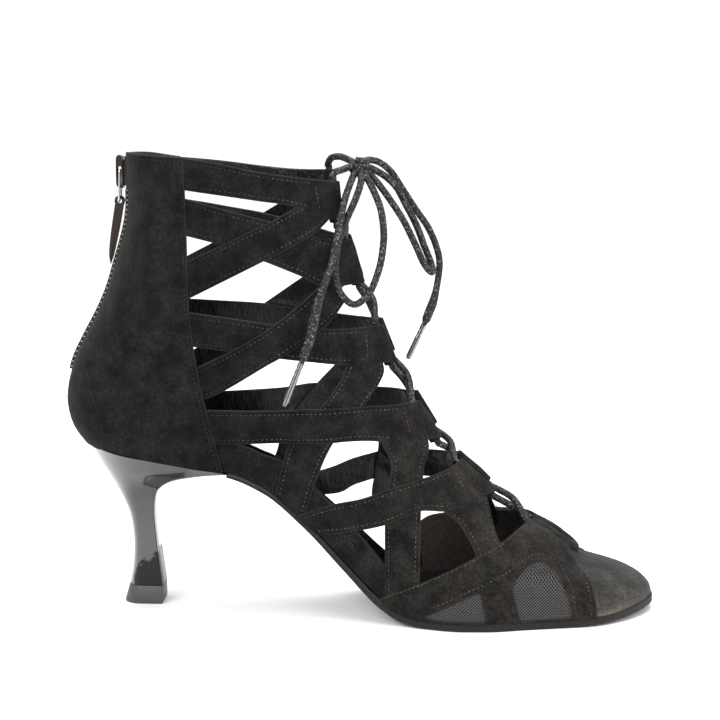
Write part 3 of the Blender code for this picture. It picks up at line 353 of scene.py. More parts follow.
# Scuffed foot of the cap on the outer side: x where it starts, is full, starts to fade, ends; the distances
# from the foot over which it fades; and its strength on the inner side
CAP_SCUFF_X = (211.0, 215.0, 221.0, 231.0)
CAP_SCUFF_RISE = (0.5, 5.5)
CAP_SCUFF_INNER = 0.3
# Flex creases of the vamp: x at the top, x at the sole, depth in mm
VAMP_CREASES = ((168.0, 173.0, 0.25), (176.5, 178.0, 0.3), (205.0, 208.5, 0.2))
# Mesh windows in the vamp: x and z round each outline
WINDOWS = {
    "rear": ((144.5, 4.3), (148, 6.2), (156, 10.2), (164, 14.2), (166.9, 15.4), (167.6, 13.4), (169.1, 6.4),
             (169.3, 4.0), (167, 4.0), (157.5, 4.0), (148, 4.1)),
    "front": ((182.3, 6.5), (181, 11), (179.8, 17.5), (184, 22.6), (188, 24.5), (191, 24.5), (195, 22.2),
              (199.5, 17), (202.2, 10.5), (203, 6.5), (203.2, 4.2), (201, 4.1), (192, 4.0), (184.5, 4.0),
              (182.5, 4.1)),
}
WINDOW_CUTS = 2
# Threads of the net: turn in radians, how far they run on past the outline
NET_TURN = 0.72
NET_TUCK = 0.7
# Cloth behind the net: how much larger than the window, half thickness
CLOTH_GROWTH = 1.05
CLOTH_HALF = 0.1
# Seam that runs over both windows: x, z
WINDOW_SEAM = (
    (148, 8.5), (157, 13.2), (166.5, 17.8), (174, 20.6), (181, 24.2), (186, 26.6), (190, 26.9), (194.5, 25.2),
    (199.5, 20.6), (203, 14.8), (204.8, 8),
)
# Heel: x and z at the back, x and z at the breast, half width; the first row is the seat
HEEL_ROWS = (
    (6.6, 68.6, BREAST_X, BREAST_Z, 25.5), (11.5, 59.5, 54, 56.0, 20.5), (15.1, 53.8, 43.5, 53.2, 16.0),
    (18.2, 48.5, 37.9, 49.8, 12.2), (20.6, 43.8, 35.4, 46.0, 9.9), (23.4, 36.4, 34.4, 38.5, 7.9),
    (24.7, 27.0, 34.8, 29.5, 6.9), (24.4, 16.1, 36.0, 17.5, 6.8), (23.0, 7.8, 37.2, 7.8, 7.1),
)
HEEL_TIP_ROWS = (
    (23.1, 7.5, 37.0, 7.5, 6.9), (22.8, 7.2, 37.2, 7.2, 7.1), (21.8, 3.6, 37.2, 3.6, 7.25),
    (20.9, 0.4, 37.2, 0.4, 7.4), (21.1, 0.0, 37.0, 0.0, 7.2),
)
HEEL_ROUND_SHARE = 0.45
HEEL_STATIONS = 20
HEEL_SIDE_SHARES = (0.68, 0.76, 0.84, 0.9, 0.945, 0.975, 0.992, 1.0)
HEEL_CORNER_SHARE = 0.06
HEEL_CORNER_FROM = 0.95
# Painted shade: low on the heel the clear coat is left off, so it stays dark as if reflecting something dark
# Top of the coat-free patch on the heel, as two rises to add: x from and to, height from and to, in metres
DARK_REFLECTION_EDGE = ((-0.0935, -0.0915, 0.004, 0.0155), (-0.0915, -0.082, 0.0, 0.006))

# Lace above the top tabs, up to the knot: x, y, z
LACE_TOP_OUTER = ((108.6, -10.6, 177.5), (111.5, -8.0, 178.4))
LACE_TOP_INNER = ((104.2, 14.4, 179.0), (105.8, 11.5, 181.8), (109.5, 8.0, 182.6))
LACE_JOIN_OUTER = (113.4, -3.9, 179.0)
LACE_JOIN_INNER = (113.6, 1.9, 181.6)
KNOT_CENTRE = (117.9, -1.0, 179.4)
# Wraps of the knot: radius along x, radius along y, lowest and highest z about the centre, turns
KNOT_WRAP = (2.7, 2.35, -2.5, 2.5, 2.3)
KNOT_START = 0.15
KNOT_STEPS = 60
KNOT_BULGE = 0.12
# Strand through the knot, about its centre: x, y, z
KNOT_CORE = ((-1.2, 0.3, -2.9), (0.2, 0.0, 0.0), (1.2, -0.3, 3.0))
# Bow, given point by point: x, y, z
LOOP_A = (
    (120.0, -4.3, 176.6), (123.2, -7.8, 171.4), (126.6, -10.5, 163.5), (128.0, -12.5, 155),
    (127.8, -14, 148), (126.4, -16, 140), (122.8, -18.6, 131), (117.0, -21.8, 126.5),
    (111.6, -24.6, 131.5), (109.6, -24.0, 140), (110.4, -20.6, 150), (113.4, -15.6, 159),
    (117.0, -11.0, 167.5), (118.8, -7.2, 173.6),
)
LOOP_B = (
    (122.7, 0.7, 178.3), (128.3, 1.5, 175.0), (132.7, 2.3, 170.5), (136.3, 3.0, 163.7), (140.4, 3.0, 155.8),
    (143.6, 2.4, 147.5), (146.8, 0.8, 139.6), (146.8, -2.6, 137.2), (143.8, -5.2, 141), (140.2, -6.0, 149),
    (135.4, -6.0, 158.6), (130.2, -5.2, 166.4), (125.8, -3.6, 172.2), (123.4, -1.8, 174.8),
)
END_A = (
    (115.9, -4.4, 176.5), (113.2, -12.0, 168.8), (111.4, -19.8, 160), (109.4, -26.8, 147.5),
    (107.0, -29.6, 139), (103.2, -32.4, 127.5), (100.6, -33.6, 115.5), (97.4, -34.0, 106),
)
END_B = (
    (120.9, 2.7, 181.6), (125.3, 5.4, 180.6), (130.0, 7.0, 176.8), (134.3, 8.2, 170.3), (139.9, 9.0, 161.6),
    (145.0, 9.2, 154.2), (148.3, 9.0, 146.8), (149.8, 8.2, 140.2), (149.2, 7.2, 132.9), (147.6, 6.2, 125.1),
    (145.2, 5.4, 118.6), (144.1, 5.0, 115.9),
)
AGLETS = {
    "aglet_a": ((97.0, -34.0, 105.2), (90.0, -32.2, 87.5)),
    "aglet_b": ((143.7, 4.9, 115.0), (137.2, 4.0, 101.0)),
}
AGLET_R = 1.2
AGLET_SEAM = 0.1
AGLET_CRIMPS = (0.16, 0.3)
AGLET_CRIMP_DEPTH = 0.16
AGLET_CRIMP_REACH = 0.7
# How much of the lace before each metal tip is worn loose and thick
LOOSE_LENGTHS = {"aglet_a": 34.0, "aglet_b": 16.0}
# Each bow cord: its points, how its far end finishes, the metal tip on it
BOW_CORDS = {
    "lace_loop_a": (LOOP_A, "object", None),
    "lace_loop_b": (LOOP_B, "object", None),
    "lace_end_a": (END_A, "fitting", "aglet_a"),
    "lace_end_b": (END_B, "fitting", "aglet_b"),
}
# Outline of the zip pull in the side view: x, z of its outer edge, x, z of its inner edge
PULL_ROWS = (
    (19.4, 164.0, 22.9, 163.6), (18.4, 158, 21.9, 158), (17.2, 150, 20.2, 150), (16.6, 143.5, 18.6, 143.5),
)
PULL_TIP = (17.2, 139.4)
PULL_HALF = 1.2
PULL_EDGE = 0.3
PULL_POINTS = 96
# Where the round of the eye starts and ends, in degrees
PULL_EYE_ARC = (200, -25)
PULL_EYE_R = 2.1
PULL_HOLE_R = 1.0
# Plate of the zip slider, from its foot up: z, half width
SLIDER_ROWS = (
    (170.4, 2.3), (171.2, 2.9), (174.0, 3.1), (178.0, 3.5), (181.0, 3.5), (182.4, 3.2), (183.0, 2.4),
)
SLIDER_X = (22.5, 23.1)
SLIDER_STEPS = 22
SLIDER_EASE = 0.25
SLIDER_END_ROUND = 0.6
SLIDER_NECK_X = 25.4
SLIDER_NECK_Z = 176.5
SLIDER_NECK_HALF = (1.6, 5.2)
SLIDER_BLOCK_X = 20.5
SLIDER_BLOCK_HALF = 1.0
SLIDER_BLOCK_Z = (178.9, 182.6)
SLIDER_BRIDGE_RADII = (0.55, 1.05)
# Line of the slider's bridge: x, z
SLIDER_BRIDGE = (
    (22.7, 182.5), (21.4, 183.0), (20.6, 182.6), (20.4, 180.6), (20.4, 173.0), (20.6, 171.3), (21.4, 170.8),
    (22.7, 171.2),
)


def linear(code):
    """Linear colour of a hex code."""
    values = [int(code[i : i + 2], 16) / 255 for i in (1, 3, 5)]
    return tuple(v / 12.92 if v <= 0.04045 else ((v + 0.055) / 1.055) ** 2.4 for v in values)


def colour_property(name, description, code):
    return FloatVectorProperty(
        name=name, description=description, subtype="COLOR", size=3, min=0.0, max=1.0, default=linear(code)
    )


def length_property(name, description, default):
    return FloatProperty(name=name, description=description, default=default, unit="LENGTH", precision=5)


class ShoeSizes(PropertyGroup):
    """Sizes that show in the finished shoe."""

    leather: length_property("Leather", "Thickness of a strap with its lining", 0.00135)
    edge_round: length_property("Edge round", "Radius of a strap's folded edge", 0.0007)
    stitch_pitch: length_property("Stitch pitch", "Distance from one stitch to the next", 0.0019)
    stitch_length: length_property("Stitch length", "Length of the thread that shows in a stitch", 0.00105)
    thread: length_property("Thread", "Radius of the sewing thread", 0.00014)
    net_pitch: length_property("Net pitch", "Distance between the threads of the mesh windows", 0.0009)
    tooth_pitch: length_property("Tooth pitch", "Distance between the teeth on one side of the zip", 0.002)


class ShoeColours(PropertyGroup):
    """Colours of the shoe's materials."""

    suede_rear: colour_property("Rear suede", "Suede of the counter and rear straps", "#131312")
    suede_front: colour_property("Front suede", "Suede of the front straps and vamp", "#22201e")
    # Paler colour along the edges: partly bare fibres, partly a painted highlight on the rounded edge
    edge_fibres_and_highlight: colour_property("Suede edge", "Bare fibres along a cut edge", "#464340")
    thread: colour_property("Thread", "Sewing thread", "#5e5954")
    lining: colour_property("Lining", "Leather lining", "#0c0c0d")
    vamp_lining: colour_property("Vamp lining", "Matte lining of the vamp and toe cap", "#3f3a37")
    thread_dark: colour_property("Dark thread", "Sewing thread by the counter", "#1c1b1a")
    footbed: colour_property("Footbed leather", "Leather that the foot stands on", "#0f0f10")
    toe_suede: colour_property("Toe suede", "Suede of the toe cap", "#3b3937")
    scuff: colour_property("Scuff", "Worn nap at the foot of the toe cap", "#645d57")
    sole: colour_property("Sole", "Split suede of the outsole", "#1f1d1c")
    lacquer: colour_property("Lacquer", "Lacquer of the heel", "#0c0c0e")
    lift: colour_property("Top lift", "Moulded top lift", "#3f3f3e")
    net: colour_property("Net", "Threads of the mesh windows", "#504e4d")
    net_back: colour_property("Net backing", "Cloth behind the mesh windows", "#0c0c0c")
    tape: colour_property("Zip tape", "Woven zip tape", "#141416")
    gunmetal: colour_property("Gunmetal", "Plated slider and pull", "#38312f")
    nickel: colour_property("Nickel", "Teeth of the zip", "#8c8a88")
    wire: colour_property("Wire", "Bright link of the zip", "#cfcfd1")
    # The lace's own near-black colour, then a painted highlight speckled over the raised strands of its braid
    lace: colour_property("Lace", "Hollows of the waxed lace", "#151417")
    lace_highlight: colour_property("Lace light", "Rubbed strands of the lace", "#918c90")
    aglet: colour_property("Aglet", "Metal lace tips", "#8f8d8b")
    floor: colour_property("Floor", "Pale studio floor", "#f6f6f5")


def smooth_table(rows, column=1):
    """A monotone cubic curve through two columns of a table."""
    xs = np.array([row[0] for row in rows], float)
    ys = np.array([row[column] for row in rows], float)
    step = np.diff(xs)
    slope = np.diff(ys) / step
    tangent = np.zeros_like(ys)
    tangent[0] = slope[0]
    tangent[-1] = slope[-1]
    for i in range(1, len(xs) - 1):
        if slope[i - 1] * slope[i] > 0:
            before = 2 * step[i] + step[i - 1]
            after = step[i] + 2 * step[i - 1]
            tangent[i] = (before + after) / (before / slope[i - 1] + after / slope[i])

    def curve(x):
        inside = np.clip(np.asarray(x, float), xs[0], xs[-1])
        i = np.clip(np.searchsorted(xs, inside) - 1, 0, len(xs) - 2)
        t = (inside - xs[i]) / step[i]
        rise = t * t * (3 - 2 * t)
        swing = t * (1 - t) * step[i]
        return ys[i] + rise * (ys[i + 1] - ys[i]) + swing * ((1 - t) * tangent[i] - t * tangent[i + 1])

    return curve


back_x = smooth_table(BACK_ROWS)
ridge_x = smooth_table(RIDGE_ROWS)
feather_z = smooth_table(FEATHER_ROWS)
outsole_thick = smooth_table(OUTSOLE_ROWS)
outer_half = smooth_table(PLAN_ROWS, 1)
inner_half = smooth_table(PLAN_ROWS, 2)
leg_half = smooth_table(LEG_ROWS)
back_round = smooth_table(BACK_ROUND_ROWS)
front_round = smooth_table(FRONT_ROUND_ROWS)
counter_x = smooth_table(COUNTER_ROWS)
outer_collar_z = smooth_table(COLLAR_ROWS, 1)
inner_collar_z = smooth_table(COLLAR_ROWS, 2)


def half_width(x, z, side):
    """Half width of the last's level z at x, before its ends are rounded."""
    base = np.where(np.asarray(side) < 0, outer_half(x), inner_half(x))
    rise = np.clip((z - feather_z(x)) / BLEND_RISE, 0, 1)
    return base + (leg_half(z) - base) * rise * rise * (3 - 2 * rise)


def end_terms(x, z):
    """Squares that close each level at the back of the heel and at the ridge."""
    back = np.maximum(0, 1 - (x - back_x(z)) / back_round(z))
    back = np.where(z < BREAST_Z, 0, back)
    front = np.maximum(0, 1 - (ridge_x(z) - x) / front_round(z))
    return back**2 + front**2


def last_field(p):
    """Zero on the skin, the reference face of the upper, and negative inside the foot."""
    x, y, z = p[..., 0], p[..., 1], p[..., 2]
    return (y / half_width(x, z, y)) ** 2 + end_terms(x, z) - 1


def last_gradient(p):
    eps = 0.01
    columns = [last_field(p + eps * axis) - last_field(p - eps * axis) for axis in np.eye(3)]
    return np.stack(columns, axis=-1) / (2 * eps)


def settle(points):
    """Moves points onto the skin along its slope."""
    points = np.array(points, float)
    for _ in range(12):
        slope = last_gradient(points)
        size = np.maximum(np.sum(slope * slope, axis=-1, keepdims=True), 1e-9)
        step = last_field(points)[..., None] * slope / size
        length = np.maximum(np.linalg.norm(step, axis=-1, keepdims=True), 1e-9)
        points = points - step * np.minimum(1, 3.0 / length)
    return points


def outward(points):
    slope = last_gradient(np.asarray(points, float))
    return slope / np.linalg.norm(slope, axis=-1, keepdims=True)


def skin_points(x, z, side):
    """Points of the skin seen at x, z from one side."""
    x = np.asarray(x, float)
    z = np.asarray(z, float)
    reach = np.maximum(0, 1 - end_terms(x, z))
    return np.stack([x, side * half_width(x, z, side) * np.sqrt(reach), z], axis=-1)


def throat_point(z, gap, side):
    """Point of the skin beside the throat, at height z and a half gap from the middle."""
    x = float(ridge_x(z))
    for _ in range(20):
        share = gap / float(half_width(x, z, side))
        x = float(ridge_x(z)) - float(front_round(z)) * (1 - math.sqrt(1 - share * share))
    return np.array((x, side * gap, z))


def tab_ends(tab, side):
    """Top and bottom of a tab's fold, on the skin."""
    top, bottom, gap = TAB_ROWS[tab][0 if side < 0 else 1]
    return throat_point(top, gap, side), throat_point(bottom, gap, side)


def sunk(point):
    """The tunnel's axis lies below the skin."""
    return point - ROLL_SINK * outward(point)


def tunnel_path(tab, side):
    return [sunk(point) for point in tab_ends(tab, side)]


def toe_fold_path(side_first):
    """Tunnel along the vamp's fold: down one side of the throat, round its front and back."""
    top, front, gap = TAB_ROWS["tab_6"][0]
    leg = [sunk(throat_point(z, gap, side_first)) for z in (top, (top + front) / 2, front)]
    forward = leg[2] - leg[1]
    forward[1] = 0.0
    forward /= np.linalg.norm(forward)
    centre = leg[2] * (1, 0, 1)
    bend = [
        centre + gap * (math.cos(a) * side_first * np.array((0, 1, 0)) + math.sin(a) * forward)
        for a in np.linspace(0, math.pi, 7)[1:-1]
    ]
    other = [point * (1, -1, 1) for point in reversed(leg)]
    return leg + bend + other


def plan_half(x, side, inset):
    """Half width of the sole's outline at x, taken in by an inset."""
    base = (outer_half(x) if side < 0 else inner_half(x)) - inset
    back = np.maximum(0, 1 - (x - SEAT_BACK_X - inset) / (SEAT_ROUND - inset))
    front = np.maximum(0, 1 - (TOE_TIP_X - inset - x) / (TOE_ROUND - inset))
    return base * np.sqrt(np.maximum(LEAST_SHARE, 1 - back**2 - front**2))


def spline(points, per_span):
    """Catmull-Rom curve through points or whole loops, with a number of steps for each span."""
    points = np.asarray(points, float)
    knots = np.concatenate([[2 * points[0] - points[1]], points, [2 * points[-1] - points[-2]]])
    out = [points[0]]
    for i in range(len(points) - 1):
        a, b, c, d = knots[i : i + 4]
        for k in range(1, per_span + 1):
            t = k / per_span
            bend = (2 * a - 5 * b + 4 * c - d) * t**2 + (3 * b - a - 3 * c + d) * t**3
            out.append(b + ((c - a) * t + bend) / 2)
    return np.array(out)


def run_along(line):
    """Distance along a line at each of its points."""
    return np.concatenate([[0.0], np.cumsum(np.linalg.norm(np.diff(line, axis=0), axis=1))])


def at_runs(line, run, places):
    """Points of a line at distances along it."""
    return np.stack([np.interp(places, run, line[:, k]) for k in range(line.shape[1])], axis=-1)


def even_line(points, step, per_span=10):
    """A smooth line through the points, cut in even steps."""
    line = spline(points, per_span)
    run = run_along(line)
    count = max(2, round(run[-1] / step))
    return at_runs(line, run, np.linspace(0, run[-1], count + 1))


def ramp(value, low, high):
    """Smooth step from 0 at low to 1 at high."""
    t = np.clip((np.asarray(value, float) - low) / (high - low), 0, 1)
    return t * t * (3 - 2 * t)


def edge_drop(distance, radius):
    """How far a rounded edge falls below its face, at a distance from the edge."""
    inside = np.clip(1 - np.asarray(distance, float) / radius, 0, 1)
    return radius * (1 - np.sqrt(1 - inside * inside))


def seam_groove(distance):
    """Depth of the groove that a seam presses, at a distance from it."""
    return GROOVE_DEPTH * np.exp(-((distance / GROOVE_WIDTH) ** 2))


def depth_inside(points, outline):
    """How deep x, z points lie inside an outline, negative outside it, and the outline's nearest points."""
    flat = points.reshape(-1, 2)
    start = outline
    along = np.roll(outline, -1, axis=0) - start
    size = np.maximum((along * along).sum(-1), 1e-9)
    share = np.clip(((flat[:, None] - start) * along).sum(-1) / size, 0, 1)
    near = start + share[..., None] * along
    gap = np.linalg.norm(flat[:, None] - near, axis=-1)
    best = gap.argmin(1)
    rows = np.arange(len(flat))
    level = flat[:, 1:]
    crosses = (start[:, 1] > level) != (start[:, 1] + along[:, 1] > level)
    rise = np.where(np.abs(along[:, 1]) < 1e-9, 1e-9, along[:, 1])
    meets = start[:, 0] + (level - start[:, 1]) * along[:, 0] / rise
    inside = (crosses & (flat[:, :1] < meets)).sum(1) % 2 == 1
    depth = np.where(inside, 1.0, -1.0) * gap[rows, best]
    return depth.reshape(points.shape[:-1]), near[rows, best].reshape(points.shape)


def rounded(outline, times):
    """An outline with its corners cut again and again until they are round."""
    outline = np.asarray(outline, float)
    for _ in range(times):
        after = np.roll(outline, -1, axis=0)
        pair = [0.75 * outline + 0.25 * after, 0.25 * outline + 0.75 * after]
        outline = np.stack(pair, axis=1).reshape(-1, 2)
    return outline


def place(points):
    """Shoe millimetres to metres about the object's origin."""
    return (np.asarray(points, float) - (MID_X, MID_Y, 0.0)) * MM


def linked(name, data):
    """A new object in the scene."""
    obj = bpy.data.objects.new(name, data)
    bpy.context.scene.collection.objects.link(obj)
    return obj


class Shape:
    """Points, faces, face materials and point marks of a piece that is being put together."""

    def __init__(self):
        self.points = []
        self.marks = []
        self.faces = []
        self.kinds = []
        self.count = 0

    def add(self, points, faces, kind=0, marks=0.0):
        points = np.asarray(points, float).reshape(-1, 3)
        self.points.append(points)
        self.marks.append(np.broadcast_to(np.asarray(marks, float).reshape(-1), (len(points),)))
        for face in faces:
            self.faces.append([self.count + int(i) for i in face])
        self.kinds += [kind] * len(faces)
        self.count += len(points)

    def add_sheet(self, outer, inner, kinds, marks):
        """A closed sheet from the grids of its two faces; kinds are the materials of outer and inner face."""
        rows, columns = outer.shape[:2]
        size = rows * columns
        index = np.arange(size).reshape(rows, columns)
        ring = np.concatenate([index[0, :-1], index[:-1, -1], index[-1, :0:-1], index[:0:-1, 0]])
        after = np.roll(ring, -1)
        corners = [index[:-1, :-1], index[1:, :-1], index[1:, 1:], index[:-1, 1:]]
        front = np.stack(corners, axis=-1).reshape(-1, 4)
        rim = np.stack([ring, after, after + size, ring + size], axis=-1)
        points = np.concatenate([outer.reshape(-1, 3), inner.reshape(-1, 3)])
        both = np.concatenate([marks.reshape(-1), marks.reshape(-1)])
        self.add(points, np.concatenate([front, rim]), kinds[0], both)
        back = front[:, ::-1] + size + self.count - len(points)
        self.faces += back.tolist()
        self.kinds += [kinds[1]] * len(back)

    def add_loft(self, loops, kind=0, closed=False, marks=0.0):
        """A skin through loops, with flat ends or closed on itself."""
        loops = np.asarray(loops, float)
        rows, count = loops.shape[:2]
        index = np.arange(rows * count).reshape(rows, count)
        turned = np.roll(index, -1, axis=1)
        if closed:
            after, after_turned = np.roll(index, -1, axis=0), np.roll(turned, -1, axis=0)
        else:
            after, after_turned = index[1:], turned[1:]
            index, turned = index[:-1], turned[:-1]
        faces = np.stack([index, turned, after_turned, after], axis=-1).reshape(-1, 4).tolist()
        if not closed:
            faces += [list(range(count)), list(range(rows * count - 1, (rows - 1) * count - 1, -1))]
        self.add(loops, faces, kind, marks)

    def piece(self, name, materials, slot, body=BODY, replaces=(), sharp=40.0):
        """Makes the object, puts it on its body and shades it smooth but for its sharp edges."""
        mesh = bpy.data.meshes.new(name)
        mesh.from_pydata(place(np.concatenate(self.points)).tolist(), [], self.faces)
        mesh.polygons.foreach_set("material_index", np.array(self.kinds, np.int32))
        mesh.attributes.new("mark", "FLOAT", "POINT").data.foreach_set("value", np.concatenate(self.marks))
        solid = bmesh.new()
        solid.from_mesh(mesh)
        bmesh.ops.recalc_face_normals(solid, faces=solid.faces)
        for face in solid.faces:
            face.smooth = True
        for edge in solid.edges:
            edge.smooth = edge.calc_face_angle(0.0) < math.radians(sharp)
        solid.to_mesh(mesh)
        solid.free()
        for material in materials:
            mesh.materials.append(finish(material))
        obj = linked(name, mesh)
        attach(obj, body)
        if replaces:
            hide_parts(*replaces)
        return obj


def frames_along(path, closed=False):
    """Two unit vectors across a path at each of its points, turned as little as possible."""
    path = np.asarray(path, float)
    if closed:
        tangent = np.roll(path, -1, axis=0) - np.roll(path, 1, axis=0)
    else:
        tangent = np.gradient(path, axis=0)
    tangent /= np.linalg.norm(tangent, axis=1, keepdims=True)
    across = np.cross(tangent[0], (0.0, 1.0, 0.0))
    if np.linalg.norm(across) < 0.2:
        across = np.cross(tangent[0], (1.0, 0.0, 0.0))
    acrosses = []
    for t in tangent:
        across = across - t * np.dot(across, t)
        across = across / np.linalg.norm(across)
        acrosses.append(across)
    acrosses = np.array(acrosses)
    return acrosses, np.cross(tangent, acrosses)


def sweep_loops(path, profile, closed=False):
    """Loops of a profile of across, up pairs carried along a path; the profile may change along it."""
    path = np.asarray(path, float)
    across, up = frames_along(path, closed)
    profile = np.broadcast_to(profile, (len(path), *np.shape(profile)[-2:]))
    return path[:, None] + profile[..., :1] * across[:, None] + profile[..., 1:] * up[:, None]


def ring_profile(sides, radius=1.0, radius_up=None):
    angles = np.linspace(0, 2 * math.pi, sides, endpoint=False)
    return np.stack([radius * np.cos(angles), (radius_up or radius) * np.sin(angles)], axis=-1)


def add_cord(shape, path, loose=0.0):
    """A round braid: strands of two families cross in a diamond relief. The mark tells how high a point is.

    A cord with a loose length swells over it, then is drawn thin to go into a metal tip.
    """
    run = run_along(path)
    size = np.full(len(run), LACE_R)
    if loose:
        mouth = run[-1] - TIP_LENGTH
        size = size * (1 + LOOSE_SWELL * ramp(run, mouth - loose, mouth - 0.5 * loose))
        size = size + (TIP_R - size) * ramp(run, mouth - TIP_TAPER, mouth)
    angles = np.linspace(0, 2 * math.pi, BRAID_SIDES, endpoint=False)
    turn = 2 * math.pi * run[:, None] / BRAID_PITCH
    relief = np.abs(np.cos(BRAID_LOBES * angles + turn) * np.cos(BRAID_LOBES * angles - turn))
    radius = size[:, None] * (1 + BRAID_DEPTH * (relief - 0.5))
    profile = np.stack([radius * np.cos(angles), radius * np.sin(angles)], axis=-1)
    shape.add_loft(sweep_loops(path, profile), marks=relief)


def add_sleeve(shape, path, radius, bore):
    """A hollow roll round a path with rounded ends."""
    line = spline(path, 8)
    run = run_along(line)
    steps = np.array(EDGE_STEPS[:5])
    inner_steps = np.linspace(steps[-1], run[-1] - steps[-1], max(4, round(run[-1] / SLEEVE_STEP)))
    places = np.concatenate([steps[:-1], inner_steps, run[-1] - steps[-2::-1]])
    line = at_runs(line, run, places)
    drop = edge_drop(np.minimum(places, run[-1] - places), SLEEVE_EDGE)
    ring = ring_profile(ROUND_SIDES)
    outer = sweep_loops(line, ring * (radius - drop)[:, None, None])
    inner = sweep_loops(line, ring * bore)
    shape.add_loft(np.concatenate([outer, inner[::-1]]), closed=True)


def strip_shares(width, middle):
    """Shares across a strip, close together near both edges: one row for each width."""
    edge = np.array(EDGE_STEPS) / width[:, None]
    core = edge[:, -1:] + (1 - 2 * edge[:, -1:]) * np.linspace(0, 1, middle + 2)[1:-1]
    return np.concatenate([edge, core, 1 - edge[:, ::-1]], axis=1)


def strip_edges(rungs):
    """Both edges of a strip as fine lines through its rungs, and the distance along its middle."""
    first = spline([rung[0] for rung in rungs], 12)
    second = spline([rung[1] for rung in rungs], 12)
    return first, second, run_along((first + second) / 2)


def outline_of(first, second):
    """Side view of a strip: x, z round its edges."""
    return np.concatenate([first, second[::-1]])[:, [0, 2]]


def rung_points(rows, side):
    return [(skin_points(row[0], row[1], side), skin_points(row[2], row[3], side)) for row in rows]


def strap_edges(name, side):
    tab, _, _, outer_rows = STRAPS[name]
    rungs = rung_points(outer_rows if side < 0 else INNER_ROWS[name], side)
    if tab:
        rungs.append(tab_ends(tab, side))
    return strip_edges(rungs)


class Stitches:
    """Stitches gathered from all the seams of one side."""

    def __init__(self, sizes):
        self.pitch = sizes.stitch_pitch / MM
        self.length = sizes.stitch_length / MM
        self.radius = sizes.thread / MM
        self.middles = []
        self.tangents = []

    def seam(self, line, under=None):
        """A row of stitches along a line on the leather, with none where it is well inside an outline."""
        run = run_along(line)
        places = np.arange(self.pitch, run[-1] - self.length / 2, self.pitch)
        if len(places) == 0:
            return
        ends = [at_runs(line, run, places + reach) for reach in (-self.length / 2, self.length / 2)]
        middle = (ends[0] + ends[1]) / 2
        tangent = ends[1] - ends[0]
        keep = np.ones(len(places), bool)
        if under is not None:
            keep = depth_inside(middle[:, [0, 2]], under)[0] <= STITCH_INSET
        self.middles.append(middle[keep])
        self.tangents.append(tangent[keep] / np.linalg.norm(tangent[keep], axis=1, keepdims=True))

    def shape(self):
        middle = np.concatenate(self.middles)
        along = np.concatenate(self.tangents)
        up = outward(middle)
        across = np.cross(along, up)
        across /= np.linalg.norm(across, axis=1, keepdims=True)
        up = np.cross(across, along)
        middle = middle + THREAD_PROUD * self.radius * up
        angles = np.linspace(0, 2 * math.pi, THREAD_SIDES, endpoint=False)
        spoke = np.cos(angles)[:, None] * across[:, None] + np.sin(angles)[:, None] * up[:, None]
        reach = self.length / 2 * along[:, None]
        ends = [middle[:, None] - reach, middle[:, None] + reach]
        rings = [middle[:, None] + share * reach + self.radius * spoke for share in (-0.6, 0.6)]
        points = np.concatenate([ends[0], rings[0], rings[1], ends[1]], axis=1)
        faces = []
        last = 1 + 2 * THREAD_SIDES
        for j in range(1, 1 + THREAD_SIDES):
            k = 1 + j % THREAD_SIDES
            far_j, far_k = j + THREAD_SIDES, k + THREAD_SIDES
            faces += [(0, k, j), (j, k, far_k, far_j), (last, far_j, far_k)]
        made = Shape()
        fade = STITCH_LEAST + (1 - STITCH_LEAST) * ramp(middle[:, 0], *STITCH_FADE_X)
        shade = fade * np.random.default_rng(SEED).uniform(0.2, 1.0, len(points))
        for stitch, mark in zip(points, shade):
            made.add(stitch, faces, marks=mark)
        return made


